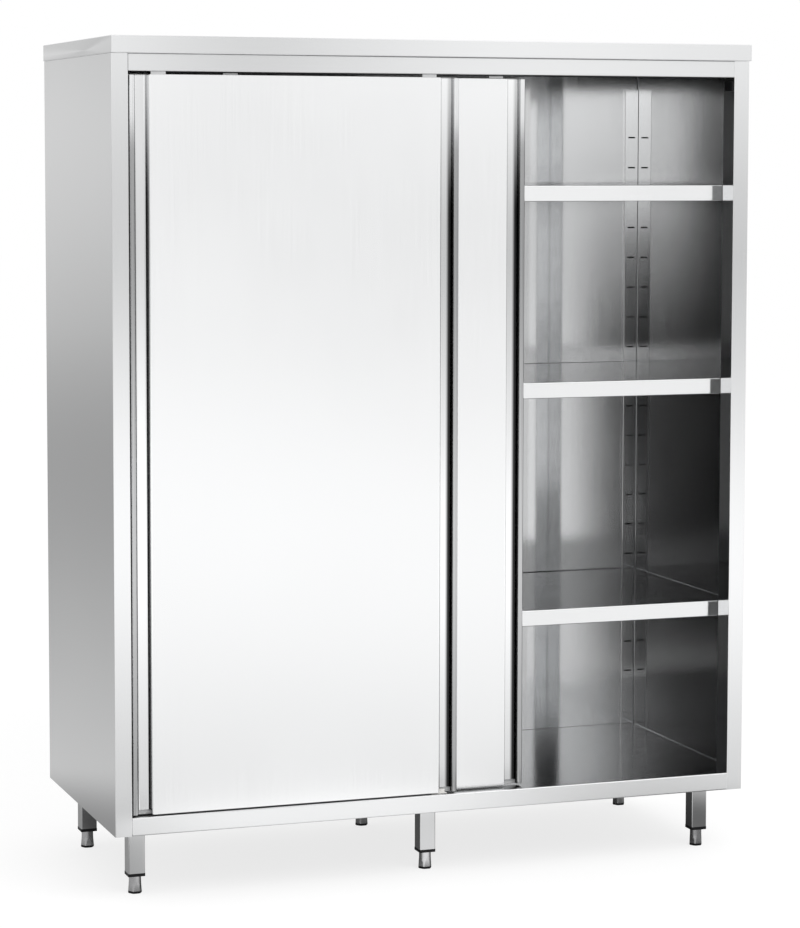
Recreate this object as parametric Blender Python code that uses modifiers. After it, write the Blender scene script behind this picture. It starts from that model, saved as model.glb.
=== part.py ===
"""Stainless-steel catering cupboard on six legs, with two top-hung sliding doors and three lift-out shelves.

The origin is on the ground under the middle of the cupboard, +Z is up and the doors face -Y.
All sizes are in metres.
"""

import math

import bmesh
import bpy
from mathutils import Matrix, Vector

# Overall size
WIDTH = 1.600
DEPTH = 0.700
HEIGHT = 2.000
LEG_CLEARANCE = 0.160

# Sheet metal
SHEET = 0.001
FOLD_RADIUS = 0.002
GAP = 0.0003

# Top panel, a tray turned upside down over the body
TOP_THICKNESS = 0.040
FRONT_OVERHANG = 0.010
SIDE_OVERHANG = 0.0015
BACK_OVERHANG = 0.002
TOP_RETURN = 0.018

# Side panels, each with the front stile folded on
STILE_WIDTH = 0.040
STILE_DEPTH = 0.0585
REAR_RETURN = 0.015

# Back panel, a pan that opens to the rear
BACK_RECESS = 0.026
BACK_RETURN = 0.012

# Floor panel and the hat section under it
FLOOR_HEIGHT = 0.0427
FLOOR_RETURN = 0.015
FLOOR_EDGE_RADIUS = 0.003
HAT_WIDTH = 0.050
HAT_DEPTH = 0.026
HAT_FLANGE = 0.020
HAT_END_SPACE = 0.030
HAT_WALL_SLOPE = 0.2

# Header rail between the stiles
HEADER_HEIGHT = 0.0395
HEADER_RETURN = 0.010
HEADER_LIP = 0.006

# Pilasters and shelf clips
PILASTER_DEPTH = 0.008
PILASTER_TOP_SPACE = 0.055
SLOT_PITCH = 0.0794
LAST_SLOT_SPACE = 0.100
SLOT_WIDTH = 0.020
SLOT_HEIGHT = 0.004
FIRST_SLOT_ABOVE_FLOOR = 0.1453
CLIP_THICKNESS = 0.002
CLIP_REACH = 0.016
CLIP_TAB = 0.012
CLIP_SIDE_PLAY = 0.001

# Shelves, lowest first, each hung in the slot nearest to its share of the way up the slots
SHELF_SHARES = {"lower": 0.17, "middle": 0.55, "upper": 0.89}
SHELF_THICKNESS = 0.0385
SHELF_RETURN = 0.014
SHELF_PLAY = 0.0015
SHELF_HAT_WIDTH = 0.060
SHELF_HAT_DEPTH = 0.014

# Doors
DOOR_THICKNESS = 0.024
DOOR_INSET = 0.005
DOOR_SPACING = 0.003
DOOR_OVERLAP = 0.090
DOOR_TOP_SPACE = 0.007
DOOR_FLOOR_SPACE = 0.003
REAR_DOOR_OPENED_BY = 0.5315
GRIP_WIDTH = 0.0335
GRIP_DEPTH = 0.018
GRIP_WALL_SLOPE = 0.002
GRIP_CORNER_RADIUS = 0.006
GRIP_FOOT_SPACE = 0.0105
LIP_WIDTH = 0.013
LIP_RADIUS = 0.003
HEM = 0.008
GRIP_STEPS = 4
SKIN_FLANGE = 0.009
PAN_FLANGE = 0.006
FLANGE_END_SPACE = 0.003
FLANGE_LAP = 0.006

# Door buffers on the stiles
BUFFER_THICKNESS = 0.0025
BUFFER_HEIGHT = 0.023
BUFFER_DEPTH = 0.042
BUFFER_BELOW_DOOR_TOP = 0.002

# Hangers, rollers and the track that they run on
HANGER_SHEET = 0.0025
HANGER_WIDTH = 0.035
HANGER_INSET = 0.0715
HANGER_LEG = 0.035
HANGER_STEP_BELOW_TOP = 0.020
HANGER_HEAD = 0.012
AXLE_RADIUS = 0.004
AXLE_HEAD_RADIUS = 0.0065
AXLE_HEAD = 0.0008
ROLLER_RADIUS = 0.0145
ROLLER_GROOVE_RADIUS = 0.0115
ROLLER_WIDTH = 0.009
ROLLER_GROOVE_WIDTH = 0.0032
ROLLER_GROOVE_FLARE = 0.001
ROLLER_SIDE_PLAY = 0.0006
TRACK_SHEET = 0.002
TRACK_BELOW_HEADER = 0.002
TRACK_LIP = 0.008
TRACK_LEG_SPACE = 0.0012

# Floor guide that steadies the door bottoms
GUIDE_LENGTH = 0.040
GUIDE_BASE = 0.0015
GUIDE_FIN = 0.005
GUIDE_RISE = 0.007
GUIDE_MARGIN = 0.006
GUIDE_FIN_END = 0.003
GUIDE_FIN_ROUND = 0.001

# Legs, plastic inserts and levelling feet
LEG_TUBE = 0.040
LEG_WALL = 0.0015
LEG_CORNER_RADIUS = 0.003
LEG_FROM_FRONT = 0.108
LEG_FROM_BACK = 0.100
LEG_FROM_SIDE = 0.0724
LEG_PLATE = 0.080
LEG_PLATE_THICKNESS = 0.003
INSERT_BAND = 0.007
INSERT_PROUD = 0.0005
INSERT_PLUG = 0.025
FOOT_HEIGHT = 0.0415
FOOT_TOP_RADIUS = 0.0143
FOOT_TAPER_TOP = 0.030
FOOT_FLATS = 6
FOOT_FLATS_RADIUS = 0.0146
FOOT_BASE_RADIUS = 0.016
FOOT_PAD_RADIUS = 0.0165
FOOT_PAD = 0.0045
FOOT_PAD_EDGE = 0.001
STEM_RADIUS = 0.005
STEM_LENGTH = 0.055
STEM_PLAY = 0.0003

# Facets
FOLD_STEPS = 3
ROUND_STEPS = 24

# Levels and planes that the pieces share
BODY_HALF = WIDTH / 2 - SIDE_OVERHANG
BODY_FRONT = -DEPTH / 2 + FRONT_OVERHANG
BODY_BACK = DEPTH / 2 - BACK_OVERHANG
BODY_BOTTOM = LEG_CLEARANCE
BODY_TOP = HEIGHT - TOP_THICKNESS - GAP
WALL_INSIDE = BODY_HALF - SHEET
OPENING_HALF = BODY_HALF - STILE_WIDTH
HEADER_BOTTOM = BODY_TOP - HEADER_HEIGHT
FLOOR_TOP = BODY_BOTTOM + FLOOR_HEIGHT
FLOOR_UNDERSIDE = FLOOR_TOP - SHEET
BACK_INSIDE = BODY_BACK - BACK_RECESS
STILE_REAR = BODY_FRONT + STILE_DEPTH
FIRST_SLOT = FLOOR_TOP + FIRST_SLOT_ABOVE_FLOOR
REAR_PILASTER_FACE = BACK_INSIDE - GAP - PILASTER_DEPTH
PILASTER_TOP = BODY_TOP - PILASTER_TOP_SPACE
LAST_SLOT = int((PILASTER_TOP - LAST_SLOT_SPACE - FIRST_SLOT) / SLOT_PITCH)
SHELF_SLOTS = {shelf: round(LAST_SLOT * share) for shelf, share in SHELF_SHARES.items()}
DOOR_BOTTOM = FLOOR_TOP + DOOR_FLOOR_SPACE
DOOR_TOP = HEADER_BOTTOM - DOOR_TOP_SPACE
DOOR_HEIGHT = DOOR_TOP - DOOR_BOTTOM
DOOR_END = OPENING_HALF - BUFFER_THICKNESS - 2 * GAP
DOOR_WIDTH = DOOR_END + DOOR_OVERLAP / 2
GRIP_ZONE = LIP_WIDTH + GRIP_WIDTH
PAN_FACE = DOOR_THICKNESS - SHEET
SLOT_MIDDLE = (SKIN_FLANGE + DOOR_THICKNESS - PAN_FLANGE) / 2
TRACK_FOOT = HEADER_BOTTOM - TRACK_BELOW_HEADER
TRACK_LIP_TOP = TRACK_FOOT + TRACK_SHEET + TRACK_LIP
ROLLER_AXIS = TRACK_LIP_TOP + GAP + ROLLER_GROOVE_RADIUS
TRACK_TOP = HEIGHT - SHEET - GAP
TRACK_HALF = DOOR_END - HANGER_INSET + ROLLER_RADIUS
LEG_TUBE_END = FOOT_HEIGHT + GAP + INSERT_BAND + GAP

STEEL = ("stainless_steel", (0.78, 0.79, 0.80), 0.28, 1.0)
BRIGHT_STEEL = ("bright_steel", (0.84, 0.84, 0.85), 0.16, 1.0)
GALVANISED = ("plated_steel", (0.66, 0.67, 0.68), 0.35, 1.0)
ALUMINIUM = ("aluminium", (0.72, 0.73, 0.74), 0.38, 1.0)
BLACK_PLASTIC = ("black_plastic", (0.02, 0.02, 0.022), 0.45, 0.0)
WHITE_NYLON = ("white_nylon", (0.80, 0.80, 0.78), 0.5, 0.0)


def clear_scene():
    for obj in list(bpy.data.objects):
        bpy.data.objects.remove(obj)


def new_collection(name):
    collection = bpy.data.collections.new(name)
    bpy.context.scene.collection.children.link(collection)
    return collection


def material(finish):
    name, colour, roughness, metallic = finish
    found = bpy.data.materials.get(name)
    if found:
        return found
    made = bpy.data.materials.new(name)
    made.use_nodes = True
    shader = made.node_tree.nodes["Principled BSDF"]
    shader.inputs["Base Color"].default_value = (*colour, 1.0)
    shader.inputs["Roughness"].default_value = roughness
    shader.inputs["Metallic"].default_value = metallic
    made.diffuse_color = (*colour, 1.0)
    return made


def empty(name, location):
    """A bare axis that a moving body's pieces hang on."""
    obj = bpy.data.objects.new(name, None)
    obj.location = location
    cupboard.objects.link(obj)
    return obj


def piece(name, bm, finish, parent=None, location=(0, 0, 0), turn=(0, 0, 0)):
    """Turns a bmesh into one named piece of the cupboard."""
    mesh = bpy.data.meshes.new(name)
    bm.to_mesh(mesh)
    bm.free()
    obj = bpy.data.objects.new(name, mesh)
    obj.location = location
    obj.rotation_euler = turn
    obj.parent = parent
    if finish:
        mesh.materials.append(material(finish))
        cupboard.objects.link(obj)
    else:
        obj.hide_render = True
        obj.display_type = "WIRE"
        cutters.objects.link(obj)
    return obj


def tool(name, bm, parent=None, location=(0, 0, 0), turn=(0, 0, 0)):
    """A shape that is only cut out of a piece or joined to it."""
    return piece(name, bm, None, parent, location, turn)


def combine(obj, other, operation):
    step = obj.modifiers.new(other.name, "BOOLEAN")
    step.operation = operation
    step.object = other
    step.solver = "EXACT"


def thicken(obj, thickness=SHEET):
    """Gives an open surface its sheet thickness, on the side away from its normals."""
    step = obj.modifiers.new("sheet", "SOLIDIFY")
    step.thickness = thickness
    step.offset = -1
    step.use_even_offset = True


def shade_round(obj, degrees=35):
    obj.data.shade_smooth()
    obj.data.set_sharp_from_angle(angle=math.radians(degrees))


def block(low, high):
    """A bmesh box between two corners."""
    bm = bmesh.new()
    size = [b - a for a, b in zip(low, high)]
    middle = [(a + b) / 2 for a, b in zip(low, high)]
    place = Matrix.Translation(middle) @ Matrix.Diagonal((*size, 1.0))
    bmesh.ops.create_cube(bm, size=1.0, matrix=place)
    return bm


def soften(bm, radius, steps, wanted):
    """Rounds the edges for which wanted(edge) is true."""
    edges = [edge for edge in bm.edges if wanted(edge)]
    bmesh.ops.bevel(bm, geom=edges, offset=radius, segments=steps, affect="EDGES", profile=0.5)
    return bm


def upright(edge):
    start, end = (vert.co for vert in edge.verts)
    return abs(start.z - end.z) > 0.9 * (start - end).length


def folded(edge):
    return not edge.is_boundary and edge.calc_face_angle(0) > 0.1


def arc_corner(before, corner, after, radius, steps):
    """Points of a fold: the corner of a path replaced by an arc."""
    back = (before - corner).normalized()
    ahead = (after - corner).normalized()
    half = back.angle(ahead) / 2
    if radius == 0 or half > math.radians(89):
        return [corner]
    centre = corner + (back + ahead).normalized() * (radius / math.sin(half))
    first = corner + back * (radius / math.tan(half)) - centre
    last = corner + ahead * (radius / math.tan(half)) - centre
    sweep = math.pi - 2 * half
    points = []
    for step in range(steps + 1):
        share = step / steps
        near = math.sin((1 - share) * sweep) / math.sin(sweep)
        far = math.sin(share * sweep) / math.sin(sweep)
        points.append(centre + first * near + last * far)
    return points


def rounded(points, radii, steps=FOLD_STEPS):
    """An open path whose inner corners are arcs. radii is one radius, or one for each inner corner."""
    path = [Vector(point) for point in points]
    if not isinstance(radii, (list, tuple)):
        radii = [radii] * (len(path) - 2)
    smooth = [path[0]]
    for before, corner, after, radius in zip(path, path[1:], path[2:], radii):
        smooth.extend(arc_corner(before, corner, after, radius, steps))
    smooth.append(path[-1])
    return smooth


def folded_sheet(path, plane, start, end):
    """An open surface along a path. The path is the face that shows, and the metal lies on its left.

    plane "XY" runs it up Z, and plane "YZ" runs it along X, from start to end.
    """
    if plane == "XY":
        place, along = (lambda p: (p.x, p.y, start)), Vector((0, 0, end - start))
    else:
        place, along = (lambda p: (start, p.x, p.y)), Vector((end - start, 0, 0))
    bm = bmesh.new()
    verts = [bm.verts.new(place(point)) for point in path]
    edges = [bm.edges.new(pair) for pair in zip(verts, verts[1:])]
    travel = verts[1].co - verts[0].co
    made = bmesh.ops.extrude_edge_only(bm, edges=edges)["geom"]
    moved = [item for item in made if isinstance(item, bmesh.types.BMVert)]
    bmesh.ops.translate(bm, vec=along, verts=moved)
    bm.normal_update()
    first = edges[0].link_faces[0]
    if first.normal.dot(travel.cross(along)) < 0:
        bmesh.ops.reverse_faces(bm, faces=bm.faces)
    return bm


def tray(low, high, inturn, radius):
    """A folded tray that opens downwards, with its bottom edges turned in."""
    bm = block(low, high)
    floor = [face for face in bm.faces if face.normal.z < -0.9]
    bmesh.ops.delete(bm, geom=floor, context="FACES_ONLY")
    rim = [edge for edge in bm.edges if edge.is_boundary]
    made = bmesh.ops.extrude_edge_only(bm, edges=rim)["geom"]
    middle = (Vector(low) + Vector(high)) / 2
    for vert in (item for item in made if isinstance(item, bmesh.types.BMVert)):
        vert.co.x += math.copysign(inturn, middle.x - vert.co.x)
        vert.co.y += math.copysign(inturn, middle.y - vert.co.y)
    bmesh.ops.recalc_face_normals(bm, faces=bm.faces)
    return soften(bm, radius, FOLD_STEPS, folded)


def hat_section(width, depth, flange, half_length):
    """A stiffening hat channel along X whose flanges' upper faces are at z = 0."""
    slope = depth * HAT_WALL_SLOPE
    points = [
        (-width / 2 - flange, -SHEET),
        (-width / 2, -SHEET),
        (-width / 2 + slope, -depth),
        (width / 2 - slope, -depth),
        (width / 2, -SHEET),
        (width / 2 + flange, -SHEET),
    ]
    return folded_sheet(rounded(points, FOLD_RADIUS), "YZ", -half_length, half_length)


def rod(radius, low, high, along="Z"):
    """A cylinder from low to high on one axis."""
    bm = bmesh.new()
    turn = Matrix.Rotation(math.radians(-90), 4, "X") if along == "Y" else Matrix.Identity(4)
    middle = Matrix.Translation((0, 0, (low + high) / 2))
    bmesh.ops.create_cone(
        bm, cap_ends=True, segments=ROUND_STEPS, radius1=radius, radius2=radius,
        depth=high - low, matrix=turn @ middle,
    )
    return bm


def turned(name, profile, closed, finish, parent, location, turn=(0, 0, 0)):
    """A lathe-turned piece about its own Z. profile is (radius, height), down the outer side."""
    bm = bmesh.new()
    verts = [bm.verts.new((radius, 0, height)) for radius, height in profile]
    pairs = list(zip(verts, verts[1:]))
    if closed:
        pairs.append((verts[-1], verts[0]))
    for pair in pairs:
        bm.edges.new(pair)
    obj = piece(name, bm, finish, parent, location, turn)
    spin = obj.modifiers.new("turn", "SCREW")
    spin.axis = "Z"
    spin.steps = ROUND_STEPS
    spin.render_steps = ROUND_STEPS
    spin.use_merge_vertices = True
    spin.merge_threshold = 0.00001
    return obj


def make_top_panel():
    low = (-WIDTH / 2, -DEPTH / 2, HEIGHT - TOP_THICKNESS)
    high = (WIDTH / 2, DEPTH / 2, HEIGHT)
    obj = piece("top_panel", tray(low, high, TOP_RETURN, FOLD_RADIUS), STEEL)
    thicken(obj)


def make_side_panels():
    """Wall, stile and cheek are one folded sheet, closed behind by a pilaster."""
    for name, side in (("right_side_panel", 1), ("left_side_panel", -1)):
        points = [
            (side * OPENING_HALF, STILE_REAR),
            (side * OPENING_HALF, BODY_FRONT),
            (side * BODY_HALF, BODY_FRONT),
            (side * BODY_HALF, BODY_BACK),
            (side * (BODY_HALF - REAR_RETURN), BODY_BACK),
        ]
        if side < 0:
            points.reverse()
        path = rounded(points, FOLD_RADIUS)
        obj = piece(name, folded_sheet(path, "XY", BODY_BOTTOM, BODY_TOP), STEEL)
        thicken(obj)
        shade_round(obj)


def make_back_panel():
    """A pan laid on its side: its face looks forward and its edges run back."""
    half = WALL_INSIDE - GAP
    deep = BACK_RECESS - SHEET - GAP
    low = (-half, BODY_BOTTOM + GAP, -deep)
    high = (half, BODY_TOP - GAP, 0)
    obj = piece(
        "back_panel", tray(low, high, BACK_RETURN, FOLD_RADIUS), STEEL,
        location=(0, BACK_INSIDE, 0), turn=(math.radians(90), 0, 0),
    )
    thicken(obj)


def make_floor_panel():
    """A tray between the walls, notched for the stiles, so that its apron stands between them."""
    half = WALL_INSIDE - GAP
    low = (-half, BODY_FRONT, BODY_BOTTOM)
    high = (half, BACK_INSIDE - GAP, FLOOR_TOP)
    obj = piece("floor_panel", tray(low, high, FLOOR_RETURN, FLOOR_EDGE_RADIUS), STEEL)
    thicken(obj)
    obj.modifiers.new("facets", "TRIANGULATE")
    beyond = 2 * FLOOR_HEIGHT
    for name, side in (("notch_right", 1), ("notch_left", -1)):
        ends = sorted((side * (OPENING_HALF - GAP), side * (half + beyond)))
        notch_low = (ends[0], BODY_FRONT - beyond, BODY_BOTTOM - beyond)
        notch_high = (ends[1], STILE_REAR + GAP, FLOOR_TOP + beyond)
        combine(obj, tool(name, block(notch_low, notch_high)), "DIFFERENCE")
    hat = hat_section(HAT_WIDTH, HAT_DEPTH, HAT_FLANGE, WALL_INSIDE - HAT_END_SPACE)
    middle = (BODY_FRONT + BACK_INSIDE) / 2
    stiffener = piece(
        "floor_stiffener", hat, STEEL, location=(0, middle, FLOOR_UNDERSIDE - GAP),
    )
    thicken(stiffener)


def make_header_rail():
    points = [
        (BODY_FRONT + HEADER_RETURN, BODY_TOP),
        (BODY_FRONT, BODY_TOP),
        (BODY_FRONT, HEADER_BOTTOM),
        (BODY_FRONT + HEADER_RETURN, HEADER_BOTTOM),
        (BODY_FRONT + HEADER_RETURN, HEADER_BOTTOM + HEADER_LIP),
    ]
    half = OPENING_HALF - GAP
    obj = piece("header_rail", folded_sheet(rounded(points, FOLD_RADIUS), "YZ", -half, half), STEEL)
    thicken(obj)
    shade_round(obj)


def make_pilasters():
    """Slotted channels in the four corners. Each is made facing -Y, and the front pair is turned round."""
    inner = OPENING_HALF + SHEET + GAP
    outer = WALL_INSIDE - GAP
    half = (outer - inner) / 2
    bottom = FLOOR_TOP + GAP
    height = PILASTER_TOP - bottom
    points = [(-half, PILASTER_DEPTH), (-half, 0), (half, 0), (half, PILASTER_DEPTH)]
    slots = bmesh.new()
    for index in range(LAST_SLOT + 1):
        level = FIRST_SLOT + index * SLOT_PITCH - bottom
        place = Matrix.Translation((0, 0, level))
        size = Matrix.Diagonal((SLOT_WIDTH, 4 * SHEET, SLOT_HEIGHT, 1.0))
        bmesh.ops.create_cube(slots, size=1.0, matrix=place @ size)
    for row, side, where, turn in corners():
        name = f"pilaster_{row}_{side}"
        bm = folded_sheet(rounded(points, FOLD_RADIUS / 2), "XY", 0, height)
        obj = piece(name, bm, STEEL, location=(where[0], where[1], bottom), turn=turn)
        thicken(obj)
        cutter = tool(f"slots_{row}_{side}", slots.copy(), location=obj.location, turn=turn)
        combine(obj, cutter, "DIFFERENCE")
    slots.free()


def corners():
    """Row, side, place of the pilaster's face in plan, and turn, for each corner of the inside."""
    middle = (OPENING_HALF + SHEET + WALL_INSIDE) / 2
    round_about = (0, 0, math.radians(180))
    for side, sign in (("left", -1), ("right", 1)):
        yield "front", side, (sign * middle, STILE_REAR), round_about
        yield "rear", side, (sign * middle, REAR_PILASTER_FACE), (0, 0, 0)


def make_shelf_clips():
    """A clip hooks up behind the pilaster's face, comes out through a slot and carries the shelf's edge."""
    inside = SHEET + GAP + CLIP_THICKNESS
    points = [
        (-CLIP_REACH, -CLIP_THICKNESS / 2),
        (inside, -CLIP_THICKNESS / 2),
        (inside, CLIP_TAB),
    ]
    half = SLOT_WIDTH / 2 - CLIP_SIDE_PLAY
    for shelf, slot in SHELF_SLOTS.items():
        level = FIRST_SLOT + slot * SLOT_PITCH
        for row, side, where, turn in corners():
            bm = folded_sheet(rounded(points, CLIP_THICKNESS + GAP), "YZ", -half, half)
            obj = piece(
                f"shelf_clip_{shelf}_{row}_{side}", bm, BRIGHT_STEEL,
                location=(where[0], where[1], level), turn=turn,
            )
            thicken(obj, CLIP_THICKNESS)


def make_shelves():
    """Each shelf is a tray with turned-in edges and a hat section under it. It only rests on its clips."""
    half = WALL_INSIDE - SHELF_PLAY
    front = STILE_REAR + SHELF_PLAY
    back = REAR_PILASTER_FACE - SHELF_PLAY
    middle = (front + back) / 2
    for shelf, slot in SHELF_SLOTS.items():
        underside = FIRST_SLOT + slot * SLOT_PITCH + CLIP_THICKNESS / 2 + GAP
        axis = empty(f"{shelf}_shelf_lift", (0, middle, underside))
        low = (-half, front - middle, 0)
        high = (half, back - middle, SHELF_THICKNESS)
        obj = piece(f"{shelf}_shelf", tray(low, high, SHELF_RETURN, FOLD_RADIUS), STEEL, axis)
        thicken(obj)
        hat = hat_section(SHELF_HAT_WIDTH, SHELF_HAT_DEPTH, HAT_FLANGE, half - HAT_END_SPACE)
        seat = SHELF_THICKNESS - SHEET / 2
        stiffener = tool(f"{shelf}_shelf_hat", hat, axis, location=(0, 0, seat))
        thicken(stiffener)
        combine(obj, stiffener, "UNION")


def door_skin_path():
    """Section of the outer skin from hem to hem, with a grip channel and a round lip at each edge."""
    hem_face = PAN_FACE - GAP
    left = [
        (HEM, hem_face),
        (0, hem_face),
        (0, 0),
        (LIP_WIDTH, 0),
        (LIP_WIDTH + GRIP_WALL_SLOPE, GRIP_DEPTH),
        (GRIP_ZONE - 2 * GRIP_WALL_SLOPE, GRIP_DEPTH),
        (GRIP_ZONE, 0),
    ]
    right = [(DOOR_WIDTH - x, y) for x, y in reversed(left)]
    radii = [FOLD_RADIUS, LIP_RADIUS, LIP_RADIUS, GRIP_CORNER_RADIUS, GRIP_CORNER_RADIUS, FOLD_RADIUS]
    return rounded(left + right, radii + radii[::-1], GRIP_STEPS)


def make_door_skin(door, axis):
    path = door_skin_path()
    ends = (FOLD_RADIUS, DOOR_HEIGHT - FOLD_RADIUS)
    skin = piece(f"{door}_door_skin", folded_sheet(path, "XY", *ends), STEEL, axis)
    thicken(skin)
    shade_round(skin)
    foot = GRIP_FOOT_SPACE
    for side in ("left", "right"):
        low = (LIP_WIDTH + GRIP_WALL_SLOPE + SHEET, SHEET * 2, -foot)
        high = (GRIP_ZONE + SHEET * 2, PAN_FACE - GAP / 2, foot)
        if side == "right":
            low, high = (DOOR_WIDTH - high[0], low[1], low[2]), (DOOR_WIDTH - low[0], high[1], high[2])
        combine(skin, tool(f"{door}_grip_foot_{side}", block(low, high), axis), "DIFFERENCE")
    flange_ends = (GRIP_ZONE + FLANGE_END_SPACE, DOOR_WIDTH - GRIP_ZONE - FLANGE_END_SPACE)
    bottom = [(0, FLANGE_LAP), (0, 0), (SKIN_FLANGE, 0)]
    top = [(SKIN_FLANGE, DOOR_HEIGHT), (0, DOOR_HEIGHT), (0, DOOR_HEIGHT - FLANGE_LAP)]
    for place, points in (("bottom", bottom), ("top", top)):
        bm = folded_sheet(rounded(points, FOLD_RADIUS), "YZ", *flange_ends)
        flange = tool(f"{door}_skin_flange_{place}", bm, axis)
        thicken(flange)
        combine(skin, flange, "UNION")


def make_door_pan(door, axis):
    """The back of the door, with short flanges that leave a slot along the door's top and bottom."""
    front = DOOR_THICKNESS - PAN_FLANGE
    points = [(front, 0), (DOOR_THICKNESS, 0), (DOOR_THICKNESS, DOOR_HEIGHT), (front, DOOR_HEIGHT)]
    path = rounded(points, SHEET + GAP)
    pan = piece(f"{door}_door_inner_pan", folded_sheet(path, "YZ", SHEET, DOOR_WIDTH - SHEET), STEEL, axis)
    thicken(pan)
    shade_round(pan)


def make_hanger(door, side, axis, across, roller_axis):
    """A bent strap screwed to the pan, which rises through the slot and ends in the roller's axle."""
    pan_side = PAN_FACE - GAP
    strap_back = SLOT_MIDDLE + HANGER_SHEET / 2
    step = DOOR_HEIGHT - HANGER_STEP_BELOW_TOP
    points = [
        (pan_side, step - HANGER_LEG),
        (pan_side, step),
        (strap_back, step + (pan_side - strap_back)),
        (strap_back, roller_axis + HANGER_HEAD),
    ]
    path = rounded(points, HANGER_SHEET + GAP)
    half = HANGER_WIDTH / 2
    hanger = piece(
        f"{door}_door_hanger_{side}", folded_sheet(path, "YZ", -half, half), GALVANISED,
        axis, location=(across, 0, 0),
    )
    thicken(hanger, HANGER_SHEET)
    end = strap_back + 2 * ROLLER_SIDE_PLAY + ROLLER_WIDTH
    axle = rod(AXLE_RADIUS, strap_back - HANGER_SHEET / 2, end + AXLE_HEAD / 2, "Y")
    head = rod(AXLE_HEAD_RADIUS, end, end + AXLE_HEAD, "Y")
    for name, bm in (("axle", axle), ("axle_head", head)):
        shape = tool(f"{door}_{name}_{side}", bm, axis, location=(across, 0, roller_axis))
        combine(hanger, shape, "UNION")


def make_roller(door, side, axis, across, roller_axis):
    """A nylon wheel whose groove sits on the track's lip. It is turned about Y on the hanger's axle."""
    half = ROLLER_WIDTH / 2
    groove = ROLLER_GROOVE_WIDTH / 2
    bore = AXLE_RADIUS + GAP
    profile = [
        (bore, half),
        (ROLLER_RADIUS, half),
        (ROLLER_RADIUS, groove + ROLLER_GROOVE_FLARE),
        (ROLLER_GROOVE_RADIUS, groove),
        (ROLLER_GROOVE_RADIUS, -groove),
        (ROLLER_RADIUS, -groove - ROLLER_GROOVE_FLARE),
        (ROLLER_RADIUS, -half),
        (bore, -half),
    ]
    middle = SLOT_MIDDLE + HANGER_SHEET / 2 + ROLLER_SIDE_PLAY + half
    roller = turned(
        f"{door}_door_roller_{side}", profile, True, WHITE_NYLON,
        axis, (across, middle, roller_axis), (math.radians(90), 0, 0),
    )
    shade_round(roller)


def make_doors():
    """The front door is closed at the left. The rear door is pushed to the left from its closed place."""
    rear_left_edge = -DOOR_OVERLAP / 2 - REAR_DOOR_OPENED_BY
    rear_face = DOOR_INSET + DOOR_THICKNESS + DOOR_SPACING
    places = {"front": (-DOOR_END, DOOR_INSET), "rear": (rear_left_edge, rear_face)}
    for door, (left_edge, inset) in places.items():
        axis = empty(f"{door}_door", (left_edge, BODY_FRONT + inset, DOOR_BOTTOM))
        make_door_skin(door, axis)
        make_door_pan(door, axis)
        for side, across in (("left", HANGER_INSET), ("right", DOOR_WIDTH - HANGER_INSET)):
            make_hanger(door, side, axis, across, ROLLER_AXIS - DOOR_BOTTOM)
            make_roller(door, side, axis, across, ROLLER_AXIS - DOOR_BOTTOM)


def make_track():
    """One extruded section under the top panel: a hooked rail for each door, joined by a web."""
    lip_half = TRACK_SHEET / 2
    roller_middle = SLOT_MIDDLE + HANGER_SHEET / 2 + ROLLER_SIDE_PLAY + ROLLER_WIDTH / 2
    leg_reach = ROLLER_WIDTH / 2 + ROLLER_SIDE_PLAY + AXLE_HEAD + TRACK_LEG_SPACE
    front_lip = BODY_FRONT + DOOR_INSET + roller_middle - lip_half
    foot_top = TRACK_FOOT + TRACK_SHEET
    outline = []
    for index in range(2):
        lip = front_lip + index * (DOOR_THICKNESS + DOOR_SPACING)
        leg = lip + lip_half + leg_reach
        rail = [
            (leg, foot_top),
            (lip + TRACK_SHEET, foot_top),
            (lip + TRACK_SHEET, TRACK_LIP_TOP),
            (lip, TRACK_LIP_TOP),
            (lip, TRACK_FOOT),
            (leg + TRACK_SHEET, TRACK_FOOT),
        ]
        if index == 0:
            outline += [(leg, TRACK_TOP), *rail, (leg + TRACK_SHEET, TRACK_TOP - TRACK_SHEET)]
        else:
            outline += [(leg, TRACK_TOP - TRACK_SHEET), *rail, (leg + TRACK_SHEET, TRACK_TOP)]
    curve = bpy.data.curves.new("door_track", "CURVE")
    curve.dimensions = "2D"
    curve.fill_mode = "BOTH"
    curve.extrude = TRACK_HALF
    spline = curve.splines.new("POLY")
    spline.points.add(len(outline) - 1)
    for point, (across, level) in zip(spline.points, outline):
        point.co = (across, level, 0, 1)
    spline.use_cyclic_u = True
    curve.materials.append(material(ALUMINIUM))
    obj = bpy.data.objects.new("door_track", curve)
    obj.rotation_euler = (math.radians(90), 0, math.radians(90))
    cupboard.objects.link(obj)


def make_floor_guide():
    """A nylon foot under both doors, with a fin that runs in the slot along the bottom of each."""
    half = GUIDE_LENGTH / 2
    first = BODY_FRONT + DOOR_INSET + SLOT_MIDDLE
    second = first + DOOR_THICKNESS + DOOR_SPACING
    bottom = FLOOR_TOP + GAP
    margin = GUIDE_FIN / 2 + GUIDE_MARGIN
    base = block((-half, first - margin, bottom), (half, second + margin, bottom + GUIDE_BASE))
    guide = piece("floor_guide", base, WHITE_NYLON)
    for name, middle in (("front", first), ("rear", second)):
        low = (-half + GUIDE_FIN_END, middle - GUIDE_FIN / 2, bottom + GUIDE_BASE / 2)
        high = (half - GUIDE_FIN_END, middle + GUIDE_FIN / 2, DOOR_BOTTOM + GUIDE_RISE)
        fin = soften(block(low, high), GUIDE_FIN_ROUND, 2, upright)
        combine(guide, tool(f"guide_fin_{name}", fin), "UNION")


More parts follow.
